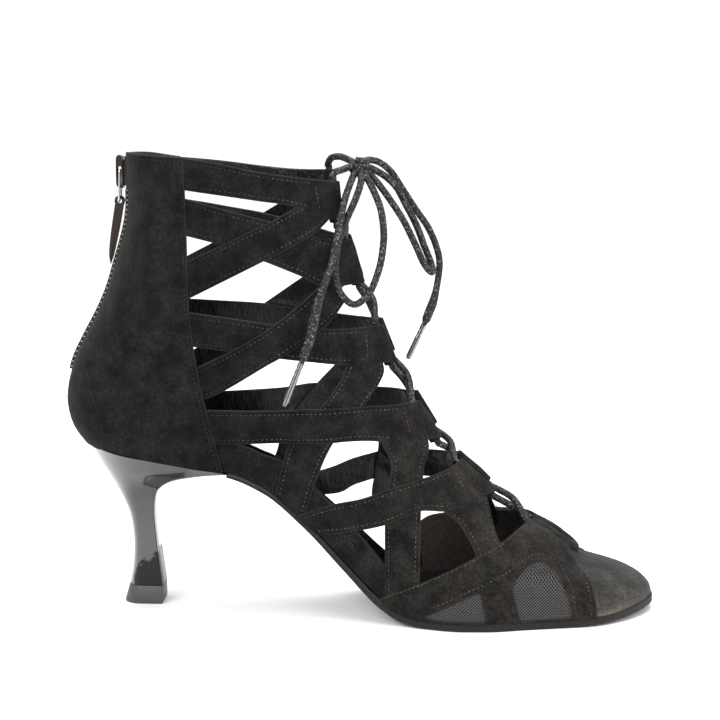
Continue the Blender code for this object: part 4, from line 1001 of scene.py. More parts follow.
def add_strap(name, side, sizes, edges, stitches):
    """A strap with folded edges, pressed by its seams, that rises over the straps it crosses and its tab."""
    tab, mate, over, _ = STRAPS[name]
    thick = sizes.leather / MM
    first, second, run = edges[name]
    count = round(run[-1] / STRAP_STEP)
    places = np.linspace(0, run[-1], count + 1)
    first = at_runs(first, run, places)
    second = at_runs(second, run, places)
    width = np.linalg.norm(second - first, axis=1)
    shares = strip_shares(width, 4)
    skin = settle(first[:, None] * (1 - shares[..., None]) + second[:, None] * shares[..., None])
    flat = skin[..., [0, 2]]
    edge = np.minimum(shares, 1 - shares) * width[:, None]
    covered = np.zeros(edge.shape)
    sink = np.zeros(edge.shape)
    middle = np.full(edge.shape, RAND_LEVEL)
    if mate:
        mate_outline = outline_of(*edges[mate][:2])
        depth = depth_inside(flat, mate_outline)[0]
        covered = ramp(depth, *JOIN_FADE)
        if not tab:
            sink = MATE_SINK * ramp(depth, *JOIN_SINK)
        middle = STRAP_LEVEL - sink
    for other in over:
        depth = depth_inside(flat, outline_of(*edges[other][:2]))[0]
        middle = middle + CROSS_RISE * ramp(depth, *CROSS_RAMP)
    for share, fall, slant in CREASES.get(name, ()):
        off = places[:, None] - share * run[-1] - slant * (shares - 0.5)
        middle = middle - fall * np.exp(-((off / CREASE_REACH) ** 2)) * np.sqrt(np.clip(edge / 4, 0, 1))
    wall = np.full(edge.shape, thick)
    if tab:
        rise = ramp(places - run[-1], -TAB_RISE_LENGTH, 0.0)[:, None]
        middle = middle + (ROLL_R - ROLL_SINK - middle) * rise
        wall = thick + (SLEEVE_WALL - thick) * rise
    groove = seam_groove(edge - STITCH_INSET)
    crown = CROWN * np.clip(edge / 4 - 0.5, 0, 1)
    shaped = middle + (1 - covered) * (crown - groove - edge_drop(edge, sizes.edge_round / MM))
    normal = outward(skin)
    outer = skin + shaped[..., None] * normal
    inner = skin + (middle - wall + 0.5 * edge_drop(edge, 0.5))[..., None] * normal
    marks = (1 - covered) * (1 - ramp(edge, *EDGE_PAINT_FADE))
    shape = Shape()
    shape.add_sheet(outer, inner, (0, 1), marks)
    end = len(places)
    if tab:
        add_sleeve(shape, tunnel_path(tab, side), ROLL_R, BORE_R)
        end = int(np.argmin(np.abs(run[-1] - TAB_STITCH_BACK - places)))
        stitches.seam(outer[end, STITCH_COLUMN:-STITCH_COLUMN])
    if mate:
        for column in (STITCH_COLUMN, -1 - STITCH_COLUMN):
            stitches.seam(outer[:end, column], mate_outline)
    return shape


def counter_level(u, z):
    """Point of the counter at share u of the way from its back to a front edge, and that way's length."""
    back = float(back_x(z))
    bend = float(back_round(z))
    front = float(counter_x(z)) - (INNER_SETBACK if u > 0 else 0.0)
    length = front - back
    turn = math.acos(max(0.0, 1 - length / bend))
    whole = bend * turn + max(0.0, length - bend)
    run = abs(u) * whole
    angle = min(run / bend, turn)
    x = back + bend * (1 - math.cos(angle)) + max(0.0, run - bend * turn)
    y = float(half_width(x, z, u)) * math.sin(angle)
    return x, math.copysign(y, u), whole


def make_counter(side, label, sizes, stitches):
    """Half of the counter, from the zip or the back seam to its front edge."""
    steps = np.array(EDGE_STEPS)
    tall = COLLAR_ROWS[0][1] - BREAST_Z
    heights = np.concatenate([np.linspace(0, tall - 2 * steps[-1], COUNTER_ROWS_UP), tall - steps[::-1]])
    around = strip_shares(np.array([COUNTER_RUN]), COUNTER_COLUMNS)[0]
    skin = np.zeros((len(around), len(heights), 3))
    edge = np.zeros(skin.shape[:2])
    for j, height in enumerate(heights):
        v = height / tall
        for i, share in enumerate(around):
            z = BREAST_Z + height
            for _ in range(4):
                start = ZIP_HALF * float(ramp(z, *ZIP_OPENING_Z))
                whole = counter_level(side, z)[2]
                u = side * max(1e-6, (start + (whole - start) * share) / whole)
                x, y, _ = counter_level(u, z)
                low = float(feather_z(x)) + UPPER_FOOT
                high = float(outer_collar_z(x) if side < 0 else inner_collar_z(x))
                z = low + (high - low) * v
            skin[i, j] = x, y, z
            edge[i, j] = min(share * (whole - start), (1 - share) * (whole - start), tall - height)
    skin = settle(skin)
    groove = seam_groove(edge - STITCH_INSET)
    normal = outward(skin)
    shaped = COUNTER_LEVEL - groove - edge_drop(edge, sizes.edge_round / MM)
    outer = skin + shaped[..., None] * normal
    inner = skin + (COUNTER_LEVEL - sizes.leather / MM + 0.5 * edge_drop(edge, 0.5))[..., None] * normal
    shape = Shape()
    shape.add_sheet(outer, inner, (0, 1), 1 - ramp(edge, *EDGE_PAINT_FADE))
    stitches.seam(outer[-1 - STITCH_COLUMN, :-STITCH_COLUMN])
    stitches.seam(outer[STITCH_COLUMN:-STITCH_COLUMN, -1 - STITCH_COLUMN])
    high = heights > ZIP_LOW_Z - BREAST_Z
    stitches.seam(outer[STITCH_COLUMN, high][:-STITCH_COLUMN])
    shape.piece(f"counter_{label}", ("suede", "lining"), "upper_suede", replaces=("upper",))


def make_vamp(side, label, sizes, stitches):
    """Vamp with its folded throat edge, sunk mesh windows and flex creases."""
    rungs = []
    for x, z, x_sole in VAMP_OUTER_ROWS if side < 0 else VAMP_INNER_ROWS:
        rungs.append((skin_points(x, z, side), skin_points(x_sole, feather_z(x_sole) + UPPER_FOOT, side)))
    gap = TAB_ROWS["tab_6"][0][2]
    for z, x_sole in VAMP_FOLD_ROWS:
        rungs.append((throat_point(z, gap, side), skin_points(x_sole, feather_z(x_sole) + UPPER_FOOT, side)))
    first, second, run = strip_edges(rungs)
    steps = np.array(EDGE_STEPS)
    rear = np.linspace(0, run[-1] - VAMP_EDGE, round(run[-1] / VAMP_STEP))
    places = np.concatenate([rear, run[-1] - steps[::-1]])
    first = at_runs(first, run, places)
    second = at_runs(second, run, places)
    width = np.linalg.norm(second - first, axis=1)
    top = steps / width.max()
    shares = np.concatenate([top, np.linspace(top[-1], 1, VAMP_COLUMNS)[1:]])
    skin = settle(first[:, None] * (1 - shares[:, None]) + second[:, None] * shares[:, None])
    outlines = {name: rounded(rows, WINDOW_CUTS) for name, rows in WINDOWS.items()}
    hole = np.full(skin.shape[:2], -FAR)
    for outline in outlines.values():
        depth, near = depth_inside(skin[..., [0, 2]], outline)
        snap = np.abs(depth) < VAMP_SNAP
        moved = skin_points(near[..., 0], near[..., 1], side)
        skin = np.where(snap[..., None], moved, skin)
        hole = np.maximum(hole, np.where(snap, 0.0, depth))
    from_top = shares[None, :] * width[:, None]
    from_front = np.broadcast_to((run[-1] - places)[:, None], from_top.shape)
    fold = ramp(first[:, 0], *FOLD_X)[:, None]
    level = VAMP_LEVEL + (ROLL_R - ROLL_SINK - VAMP_LEVEL) * fold * ramp(-from_top, -VAMP_RISE_LENGTH, 0.0)
    for x_top, x_sole, fall in VAMP_CREASES:
        line = x_top + (x_sole - x_top) * shares[None, :]
        level = level - fall * np.exp(-(((skin[..., 0] - line) / CREASE_REACH) ** 2))
    edge = np.minimum(from_top + FAR * fold, from_front)
    radius = sizes.edge_round / MM
    groove = seam_groove(np.minimum(np.abs(edge - STITCH_INSET), np.abs(-hole - STITCH_INSET)))
    shaped = level - groove - edge_drop(edge, radius) - edge_drop(np.maximum(-hole, 0), radius)
    shaped = np.where(hole > 0.01, WINDOW_LEVEL, shaped)
    normal = outward(skin)
    outer = skin + shaped[..., None] * normal
    inner = skin + (np.minimum(level, VAMP_LEVEL) - VAMP_THICK)[..., None] * normal
    shape = Shape()
    shape.add_sheet(outer, inner, (0, 1), 1 - ramp(np.minimum(edge, np.abs(hole)), 0.1, 0.6))
    stitches.seam(outer[first[:, 0] < TOP_SEAM_END_X, STITCH_COLUMN])
    stitches.seam(outer[-1 - STITCH_COLUMN, STITCH_COLUMN + 6 :])
    fold_column = int(np.argmin(np.abs(shares * width[-1] - FOLD_SEAM_INSET)))
    stitches.seam(outer[first[:, 0] > FOLD_X[1], fold_column][: -STITCH_COLUMN - 1])
    line = spline(WINDOW_SEAM, 10)
    on_skin = skin_points(line[:, 0], line[:, 1], side)
    stitches.seam(on_skin + (VAMP_LEVEL - GROOVE_DEPTH) * outward(on_skin))
    shape.piece(f"vamp_{label}", ("suede", "vamp_lining"), "upper_suede", replaces=("upper",))
    make_net(side, label, sizes, outlines)


def make_net(side, label, sizes, outlines):
    """Woven threads over the dark cloth of each window; warp and weft go over and under in turn."""
    pitch = sizes.net_pitch / MM
    shape = Shape()
    profile = ring_profile(4, NET_THREAD)
    cos, sin = math.cos(NET_TURN), math.sin(NET_TURN)
    slant = np.array(((cos, sin), (-sin, cos)))
    for outline in outlines.values():
        turned = outline @ slant.T
        for family in (0, 1):
            other = 1 - family
            low, high = np.floor(turned.min(axis=0) / pitch) - 1, np.ceil(turned.max(axis=0) / pitch) + 1
            for number in np.arange(low[family], high[family]):
                along = np.arange(low[other], high[other], 0.25) * pitch
                line = np.zeros((len(along), 2))
                line[:, family] = number * pitch
                line[:, other] = along
                flat = line @ slant
                inside = depth_inside(flat, outline)[0] > -NET_TUCK
                wave = NET_WAVE * np.cos(math.pi * (along / pitch + number + family))
                for piece in np.split(np.arange(len(along)), np.flatnonzero(np.diff(inside.astype(int))) + 1):
                    if not inside[piece[0]] or len(piece) < 5:
                        continue
                    on_skin = skin_points(flat[piece, 0], flat[piece, 1], side)
                    path = on_skin + (NET_LEVEL + wave[piece])[:, None] * outward(on_skin)
                    shape.add_loft(sweep_loops(path, profile))
    backing = Shape()
    for outline in outlines.values():
        middle = outline.mean(axis=0)
        grown = middle + CLOTH_GROWTH * (outline - middle)
        rings = []
        shares = np.linspace(0.04, 1.0, 10)
        for rise, order in ((CLOTH_HALF, shares), (-CLOTH_HALF, shares[::-1])):
            for share in order:
                flat = middle + share * (grown - middle)
                on_skin = skin_points(flat[:, 0], flat[:, 1], side)
                rings.append(on_skin + (WINDOW_LEVEL + rise) * outward(on_skin))
        backing.add_loft(rings)
    backing.piece(f"window_cloth_{label}", ("backing",), "upper_suede", replaces=("upper",))
    shape.piece(f"window_net_{label}", ("net",), "upper_suede", replaces=("upper",), sharp=90.0)


def make_toe_fold():
    """Rolled edge of the vamp round the front of the throat, with the lace in it."""
    shape = Shape()
    add_sleeve(shape, toe_fold_path(OUTER), ROLL_R, BORE_R)
    shape.piece("toe_fold", ("suede",), "upper_suede", replaces=("upper",))


def make_toe_cap(sizes):
    """Toe cap from the sole's edge up and back under the vamp; its marks say where the nap is scuffed."""
    tip = float(ridge_x(feather_z(TOE_TIP_X) + UPPER_FOOT))
    low = float(feather_z(CAP_REAR_X)) + CAP_REAR_FOOT
    turns = np.linspace(-math.pi / 2, math.pi / 2, CAP_COLUMNS)
    side = np.where(turns < 0, OUTER, INNER)
    x = CAP_REAR_X + (tip - CAP_REAR_X) * np.cos(turns)
    foot = skin_points(x, feather_z(x) + UPPER_FOOT, side)
    rear = skin_points(np.full(len(turns), CAP_REAR_X), low + (CAP_REAR_Z - low) * np.cos(turns), side)
    share = (np.linspace(0, 1, CAP_ROWS) ** CAP_EASE)[None, :, None]
    skin = settle(foot[:, None] * (1 - share) + rear[:, None] * share)
    edge = np.linalg.norm(skin - skin[:, :1], axis=-1)
    normal = outward(skin)
    outer = skin + (CAP_LEVEL - edge_drop(edge, CAP_EDGE))[..., None] * normal
    inner = skin + (CAP_LEVEL - sizes.leather / MM) * normal
    along = ramp(skin[..., 0], *CAP_SCUFF_X[:2]) * (1 - ramp(skin[..., 0], *CAP_SCUFF_X[2:]))
    scuffed = (1 - ramp(edge, *CAP_SCUFF_RISE)) * np.where(skin[..., 1] < 0, along, CAP_SCUFF_INNER)
    shape = Shape()
    shape.add_sheet(outer, inner, (0, 1), scuffed)
    shape.piece("toe_cap", ("toe_suede", "vamp_lining"), "upper_suede", replaces=("upper",))


def sole_stations(start, end, round_back, round_toe):
    """x stations along the sole, closer where an end is rounded."""
    turn = np.linspace(0, math.pi / 2, 16)
    toe = end - round_toe * (1 - np.sin(turn))
    heel = start + round_back * (1 - np.cos(turn)) if round_back else np.array([start])
    middle = np.linspace(heel[-1], toe[0], 60)[1:-1]
    return np.concatenate([heel, middle, toe])


def places_across(near, far, steps, count):
    """Places across the sole from edge to edge, in given steps from both edges."""
    steps = np.array(steps) * min(1.0, (far - near) / 6)
    inner = np.linspace(near + steps[-1], far - steps[-1], count)[1:-1]
    return np.concatenate([near + steps, inner, far - steps[::-1]])


def make_insole():
    """Footbed: a dished, glossy leather bed with its edge turned over."""
    start = SEAT_BACK_X + INSOLE_INSET
    end = TOE_TIP_X - INSOLE_INSET
    stations = sole_stations(start, end, SEAT_ROUND - INSOLE_INSET, TOE_ROUND - INSOLE_INSET)
    loops = []
    for x in np.clip(stations, start + 0.05, end - 0.05):
        near = -float(plan_half(x, OUTER, INSOLE_INSET))
        far = float(plan_half(x, INNER, INSOLE_INSET))
        low = float(feather_z(x)) + GAP
        across = places_across(near, far, INSOLE_STEPS, 14)
        edge = np.minimum(np.minimum(across - near, far - across), min(x - start, end - x) + 0.15)
        share = 2 * (across - near) / (far - near) - 1
        high = low + INSOLE_THICK - INSOLE_DISH * (1 - share * share) - edge_drop(edge, 1.4)
        upper = np.stack([np.full(len(across), x), across, high], axis=-1)
        lower = upper * (1, 1, 0) + (0, 0, low)
        loops.append(np.concatenate([upper, lower[::-1]]))
    shape = Shape()
    shape.add_loft(loops)
    shape.piece("insole", ("footbed",), "footbed_leather", replaces=("insole",), sharp=60.0)


def make_outsole():
    """Thin split-suede sole with a soft, fuzzy edge."""
    start = BREAST_X - SOLE_TUCK
    end = TOE_TIP_X + SOLE_EDGE
    loops = []
    for x in sole_stations(start, end, 0, TOE_ROUND + SOLE_EDGE):
        x = min(x, end - 0.05)
        near = -float(plan_half(x, OUTER, -SOLE_EDGE))
        far = float(plan_half(x, INNER, -SOLE_EDGE))
        top = float(feather_z(x))
        low = top - float(outsole_thick(x))
        across = places_across(near, far, OUTSOLE_STEPS, 12)
        edge = np.minimum(across - near, far - across)
        drop = edge_drop(edge, min(0.7, (top - low) * 0.45))
        upper = np.stack([np.full(len(across), x), across, top - 0.6 * drop], axis=-1)
        lower = np.stack([np.full(len(across), x), across, low + drop], axis=-1)
        loops.append(np.concatenate([upper, lower[::-1]]))
    shape = Shape()
    shape.add_loft(loops)
    shape.piece("outsole", ("sole",), "sole_suede", replaces=("outsole",), sharp=60.0)


def heel_loop(row, seat):
    """D-shaped section of the heel: round at the back, flat at the breast, its corners eased."""
    back, back_z, front, front_z, half = row
    turn = np.linspace(0.0, math.pi / 2, HEEL_STATIONS)
    shares = np.concatenate([HEEL_ROUND_SHARE * (1 - np.cos(turn)), HEEL_SIDE_SHARES])
    shares[0] = LEAST_SHARE
    side = []
    for share in shares:
        x = back + share * (front - back)
        around = min(share / HEEL_ROUND_SHARE, 1.0)
        width = half * math.sqrt(1 - (1 - around) ** 2)
        width -= HEEL_CORNER_SHARE * half * max(0.0, (share - HEEL_CORNER_FROM) / (1 - HEEL_CORNER_FROM)) ** 3
        z = float(feather_z(x)) if seat else back_z + share * (front_z - back_z)
        if seat:
            width = 0.5 * float(sum(plan_half(x, one, -HEEL_TOP_LEVEL) for one in (OUTER, INNER)))
        side.append((x, width, z))
    near = [(x, -y, z) for x, y, z in side]
    return near + side[::-1]


def make_heel():
    """Lacquered heel block drawn smooth between its sections, and the top lift under it."""
    loops = [heel_loop(HEEL_ROWS[0], True)] + [heel_loop(row, False) for row in HEEL_ROWS[1:]]
    shape = Shape()
    shape.add_loft(spline(loops, 5))
    shape.piece("heel", ("lacquer",), "heel_lacquer", replaces=("heel",), sharp=35.0)
    lift = Shape()
    lift.add_loft([heel_loop(row, False) for row in HEEL_TIP_ROWS])
    lift.piece("heel_tip", ("lift",), "top_lift", replaces=("heel_tip",), sharp=35.0)


def make_zip(sizes):
    """Woven tape in the counter's slot, with a cord that the meshed teeth are set on."""
    chain_top = SLIDER_ROWS[0][0] - CHAIN_CLEAR
    loops = []
    for z in np.linspace(ZIP_LOW_Z + GAP, ZIP_TOP_Z, TAPE_ROWS):
        base = np.array((float(back_x(z)), 0.0, z))
        normal = outward(base)
        core = CORE_HIGH if z < chain_top else CORE_HIGH_SLIDER
        half_section = [(TAPE_HALF, TAPE_LOW), (TAPE_HALF, TAPE_HIGH - 0.2), (TAPE_HALF - 0.3, TAPE_HIGH)]
        half_section += [(CORE_HALF + 0.6, TAPE_HIGH), (CORE_HALF + 0.25, core - 0.3), (CORE_HALF, core)]
        section = [(-y, lift) for y, lift in half_section] + half_section[::-1]
        loops.append([base + (0, y, 0) + lift * normal for y, lift in section])
    tape = Shape()
    tape.add_loft(loops)
    tape.piece("zip_tape", ("tape",), "zip_tape", replaces=("zip_tape",))
    teeth = Shape()
    pitch = sizes.tooth_pitch / MM
    for number, z in enumerate(np.arange(ZIP_LOW_Z + TOOTH_START, chain_top, pitch / 2)):
        base = np.array((float(back_x(z)), 0.0, z))
        normal = outward(base)
        up = np.cross(normal, (0.0, 1.0, 0.0))
        up *= math.copysign(1.0, up[2])
        side = 1 if number % 2 else -1
        rings = []
        for lift, spread in TOOTH_RINGS:
            ring = []
            for y, rise in TOOTH_CORNERS:
                across = side * (0.5 + spread * (y - 0.5)) * np.array((0, 1, 0))
                ring.append(base + lift * normal + across + spread * rise * TOOTH_HALF * up)
            rings.append(ring)
        teeth.add_loft(rings)
    teeth.piece("zip_teeth", ("nickel",), "zip_metal", replaces=("zip_tape",), sharp=25.0)


def make_slider():
    """Plate with side flanges over the chain, and the bridge that holds the link."""
    back, front = SLIDER_X
    shape = Shape()
    heights = np.linspace(SLIDER_ROWS[0][0], SLIDER_ROWS[-1][0], SLIDER_STEPS)
    half = smooth_table(SLIDER_ROWS)
    loops = []
    for z in heights:
        w = float(half(z))
        from_end = min(z - heights[0], heights[-1] - z)
        ease = SLIDER_EASE * float(edge_drop(from_end, SLIDER_END_ROUND) / SLIDER_END_ROUND)
        half_section = ((w, front), (w, back + 0.12), (w - SLIDER_EASE, back + ease))
        section = [(-y, x) for y, x in half_section] + list(reversed(half_section))
        loops.append([(x, y, z) for y, x in section])
    shape.add_loft(loops)
    wide, tall = SLIDER_NECK_HALF
    neck = ((-wide, -tall), (wide, -tall), (wide, tall), (-wide, tall))
    shape.add_loft([[(x, y, SLIDER_NECK_Z + z) for y, z in neck] for x in (front - 0.3, SLIDER_NECK_X)])
    bridge = even_line([(x, 0.0, z) for x, z in SLIDER_BRIDGE], 0.35)
    shape.add_loft(sweep_loops(bridge, ring_profile(16, *SLIDER_BRIDGE_RADII)))
    ends = (SLIDER_BLOCK_X, back + 0.3)
    block = [(x, -SLIDER_BLOCK_HALF) for x in ends] + [(x, SLIDER_BLOCK_HALF) for x in reversed(ends)]
    shape.add_loft([[(x, y, z) for x, y in block] for z in SLIDER_BLOCK_Z])
    shape.piece("zip_slider", ("gunmetal",), "zip_metal", replaces=("zip_slider",))


def make_link():
    """Bright wire loop from the bridge to the eye of the pull."""
    top = [(PIVOT_X, y, PIVOT_Z) for y in (-LINK_HALF, LINK_HALF)]
    foot = [(EYE_X, y, EYE_Z) for y in (LINK_HALF, -LINK_HALF)]
    ring = np.array(top + foot)
    path = []
    for i, point in enumerate(ring):
        before = ring[i - 1] - point
        after = ring[(i + 1) % 4] - point
        start = point + LINK_CORNER * before / np.linalg.norm(before)
        end = point + LINK_CORNER * after / np.linalg.norm(after)
        for t in np.linspace(0, 1, 7):
            path.append((1 - t) ** 2 * start + 2 * t * (1 - t) * point + t * t * end)
    shape = Shape()
    shape.add_loft(sweep_loops(path, ring_profile(12, WIRE_R), closed=True), closed=True)
    shape.piece("zip_link", ("wire",), "zip_wire", body="zip_link", replaces=("zip_link",))


def make_pull():
    """Leaf-shaped pull with eased edges and an eye around the link's foot."""
    outer = spline([(row[0], row[1]) for row in PULL_ROWS] + [PULL_TIP], 6)
    inner = spline([(row[2], row[3]) for row in PULL_ROWS] + [PULL_TIP], 6)
    arc = np.radians(np.linspace(*PULL_EYE_ARC, 24))
    eye = np.stack([EYE_X + PULL_EYE_R * np.cos(arc), EYE_Z + PULL_EYE_R * np.sin(arc)], axis=-1)
    outline = np.concatenate([eye, inner[:-1], outer[::-1]])
    line = np.concatenate([outline, outline[:1]])
    run = run_along(line)
    outline = at_runs(line, run, np.linspace(0, run[-1], PULL_POINTS, endpoint=False))
    turn = np.arctan2(outline[:, 1] - EYE_Z, outline[:, 0] - EYE_X)
    hole = np.stack([EYE_X + PULL_HOLE_R * np.cos(turn), EYE_Z + PULL_HOLE_R * np.sin(turn)], axis=-1)
    tangent = np.roll(outline, -1, axis=0) - np.roll(outline, 1, axis=0)
    away = np.stack([tangent[:, 1], -tangent[:, 0]], axis=-1)
    away /= np.linalg.norm(away, axis=1, keepdims=True)
    away *= np.sign(np.sum(away * (outline - outline.mean(axis=0)), axis=1).sum())
    eased = outline - PULL_EDGE * away
    side = PULL_HALF - PULL_EDGE
    levels = ((-PULL_HALF, eased), (-side, outline), (side, outline), (PULL_HALF, eased))
    loops = []
    for y, flat in (*levels, (PULL_HALF, hole), (-PULL_HALF, hole)):
        loops.append(np.stack([flat[:, 0], np.full(len(flat), y), flat[:, 1]], axis=-1))
    shape = Shape()
    shape.add_loft(loops, closed=True)
    shape.piece("zip_pull", ("gunmetal",), "zip_metal", body="zip_pull", replaces=("zip_pull",), sharp=30.0)


def lace_run(first_side):
    """One half of the lace: from the fold of the vamp, from side to side up through the tabs."""
    start = toe_fold_path(first_side)[:3]
    path = [start[1], start[0]]
    before = start[0]
    leave = (start[0] - start[1]) / np.linalg.norm(start[0] - start[1])
    side = first_side
    for level, tab in enumerate(list(TAB_ROWS)[-2::-1]):
        side = -side
        top, bottom = tunnel_path(tab, side)
        along = (top - bottom) / np.linalg.norm(top - bottom)
        out = before + LACE_LEAD * leave
        enter = bottom - LACE_LEAD * along
        over = 1 if (level % 2 == 0) == (first_side < 0) else -1
        ridge = outward(bottom) * (1, 0, 1)
        lift = CROSSING_LIFT + CROSSING_SPLIT * over
        middle = (enter + out) / 2 + lift * ridge / np.linalg.norm(ridge)
        path += [out, middle, enter, bottom, top]
        before = top
        leave = along
    path.append(before + LACE_LEAD * leave)
    return path


def make_lace():
    """Both halves of the lace, from the vamp's fold up to the knot."""
    fold = toe_fold_path(OUTER)
    bend = fold[3:-3]
    first = [*reversed(bend), fold[2], *lace_run(OUTER), *LACE_TOP_INNER, LACE_JOIN_INNER]
    second = [fold[-3], *lace_run(INNER), *LACE_TOP_OUTER, LACE_JOIN_OUTER]
    shape = Shape()
    for points in (first, second):
        add_cord(shape, even_line([*points, toward_knot(points[-1])], BRAID_STEP))
    shape.piece("lace", ("lace",), "lace_cord", replaces=("lace",), sharp=80.0)


def toward_knot(point):
    """A point inside the knot for a strand that ends at this point beside it."""
    point = np.array(point, float)
    return point + KNOT_SHARE * (np.array(KNOT_CENTRE) - point)


def make_knot():
    """Wraps of the knot, drawn tight round the strands inside it."""
    wide, deep, low, high, turns = KNOT_WRAP
    angles = np.linspace(KNOT_START, KNOT_START + 2 * math.pi * turns, KNOT_STEPS)
    rise = np.linspace(low, high, KNOT_STEPS)
    bulge = 1 + KNOT_BULGE * np.sin(np.linspace(0, math.pi, KNOT_STEPS))
    offsets = np.stack([wide * bulge * np.cos(angles), -deep * bulge * np.sin(angles), rise], axis=-1)
    shape = Shape()
    add_cord(shape, even_line(np.array(KNOT_CENTRE) + offsets, BRAID_STEP, 4))
    add_cord(shape, even_line(np.array(KNOT_CENTRE) + KNOT_CORE, BRAID_STEP))
    shape.piece("lace_knot", ("lace",), "lace_cord", replaces=("lace_knot",), sharp=80.0)


def make_aglet(name):
    """Metal tip rolled round the lace's end, with two crimps and its seam to the outer side."""
    start, end = (np.array(point) for point in AGLETS[name])
    length = np.linalg.norm(end - start)
    places = np.linspace(0, 1, 61)
    radius = AGLET_R * (1 - 0.2 * ramp(places, 0.86, 1.0) ** 2)
    for crimp in AGLET_CRIMPS:
        off = (places - crimp) * length / AGLET_CRIMP_REACH
        radius = radius - AGLET_CRIMP_DEPTH * np.exp(-(off**2))
    radius = radius - edge_drop(np.minimum(places, 1 - places) * length, 0.35)
    path = (start + places[:, None] * (end - start))[:, None]
    loops = sweep_loops(path[:, 0], ring_profile(ROUND_SIDES) * radius[:, None, None])
    seam = ramp((path - loops)[..., 1] / radius[:, None], 0.955, 0.99)
    shape = Shape()
    shape.add_loft(path + (loops - path) * (1 - AGLET_SEAM * seam)[..., None], marks=seam)
    return shape.piece(name, ("aglet",), "aglet_metal", replaces=(name,))


def make_bow():
    """Loops and ends of the bow, each a free cord."""
    for name, (points, far_end, tip) in BOW_CORDS.items():
        shape = Shape()
        if tip:
            start, end = (np.array(point) for point in AGLETS[tip])
            inside = start + TIP_LENGTH * (end - start) / np.linalg.norm(end - start)
        else:
            inside = toward_knot(points[-1])
        path = even_line([toward_knot(points[0]), *points, inside], BRAID_STEP)
        add_cord(shape, path, LOOSE_LENGTHS.get(tip, 0.0))
        obj = shape.piece(name, ("lace",), "lace_cord", replaces=(name,), sharp=80.0)
        tips = [make_aglet(tip)] if tip else []
        line = place(path)
        length = float(run_along(line)[-1])


def set_inputs(tree, target, values):
    """Sets inputs by name or number, or in their order. One that is given an output is linked to it."""
    for key, value in values.items() if isinstance(values, dict) else enumerate(values):
        if isinstance(value, bpy.types.NodeSocket):
            tree.links.new(value, target.inputs[key])
        else:
            target.inputs[key].default_value = value


def node(tree, kind, output, inputs, **settings):
    """Adds a node with its settings and inputs, and gives one of its outputs.

    A colour mix has its share as input 0, its colours as inputs 6 and 7 and its result as output 2.
    """
    made = tree.nodes.new(f"ShaderNode{kind}")
    for name, value in settings.items():
        setattr(made, name, value)
    set_inputs(tree, made, inputs)
    return made.outputs[output]


def new_surface(name):
    """A material, what adds a node to it, what sets its shader, and where its patterns are read."""
    material = bpy.data.materials.new(name)
    material.use_nodes = True
    tree = material.node_tree
    add = partial(node, tree)
    shade = partial(set_inputs, tree, tree.nodes["Principled BSDF"])
    return material, add, shade, add("TexCoord", "Object", [])


def per_mm(size):
    """Scale of a pattern whose patches are about this many millimetres across."""
    return 1.0 / (size * MM)


def opaque(colour, factor=1.0):
    """Colour for a colour input, made lighter or darker by a factor."""
    return (*(factor * v for v in colour), 1.0)


def brush(add, shade, where, base, nap, sheen):
    """Soft nap of a suede. Its fibres are too fine to show, so they are drawn as tufts of 1 to 2 mm."""
    tufts = add("TexNoise", "Fac", {"Vector": where, "Scale": per_mm(2.2), "Detail": 2.0, "Roughness": 0.5})
    brushed = add("Bump", "Normal", {"Height": tufts, "Distance": 0.00025, "Strength": 0.5})
    napped = add("Bump", "Normal", {"Height": nap, "Distance": 0.0002, "Strength": 0.7, "Normal": brushed})
    shade({
        "Base Color": base, "Roughness": 0.95, "Specular IOR Level": 0.08, "Sheen Weight": sheen,
        "Sheen Roughness": 0.5, "Normal": napped,
    })


def suede(colours):
    """Brushed suede: near black at the heel, browner to the toe, with a soft nap and paler edges of bare
    fibres and painted highlight.
    """
    material, add, shade, where = new_surface("suede_brushed")
    along = add("SeparateXYZ", "X", [where])
    toward_toe = add("MapRange", "Result", [along, -0.06, 0.07])
    rear = opaque(colours.suede_rear)
    base = add("Mix", 2, {0: toward_toe, 6: rear, 7: opaque(colours.suede_front)}, data_type="RGBA")
    counter = add("MapRange", "Result", [along, -0.068, -0.061, 1.15, 0.85])
    base = add("VectorMath", "Vector", {0: base, "Scale": counter}, operation="SCALE")
    patches = add("TexNoise", "Fac", {"Vector": where, "Scale": per_mm(8), "Detail": 3.0, "Roughness": 0.6})
    cloud = add("MapRange", "Result", [patches, 0.35, 0.65, 0.55, 1.5])
    nap = add("TexNoise", "Fac", {"Vector": where, "Scale": per_mm(1.1), "Detail": 4.0, "Roughness": 0.7})
    fibres = add("MapRange", "Result", [nap, 0.3, 0.7, 1.7, 0.4])
    tone = add("Math", "Value", [cloud, fibres], operation="MULTIPLY")
    base = add("VectorMath", "Vector", {0: base, "Scale": tone}, operation="SCALE")
    # Paler edges in patches: bare fibres and a painted highlight along each marked edge
    mark = add("Attribute", "Fac", [], attribute_name="mark")
    edge_patches = add("MapRange", "Result", [nap, 0.3, 0.6, 0.05, 0.32])
    bare = add("Math", "Value", [mark, edge_patches], operation="MULTIPLY")
    base = add("Mix", 2, {0: bare, 6: base, 7: opaque(colours.edge_fibres_and_highlight)}, data_type="RGBA")
    brush(add, shade, where, base, nap, 0.04)
    return material


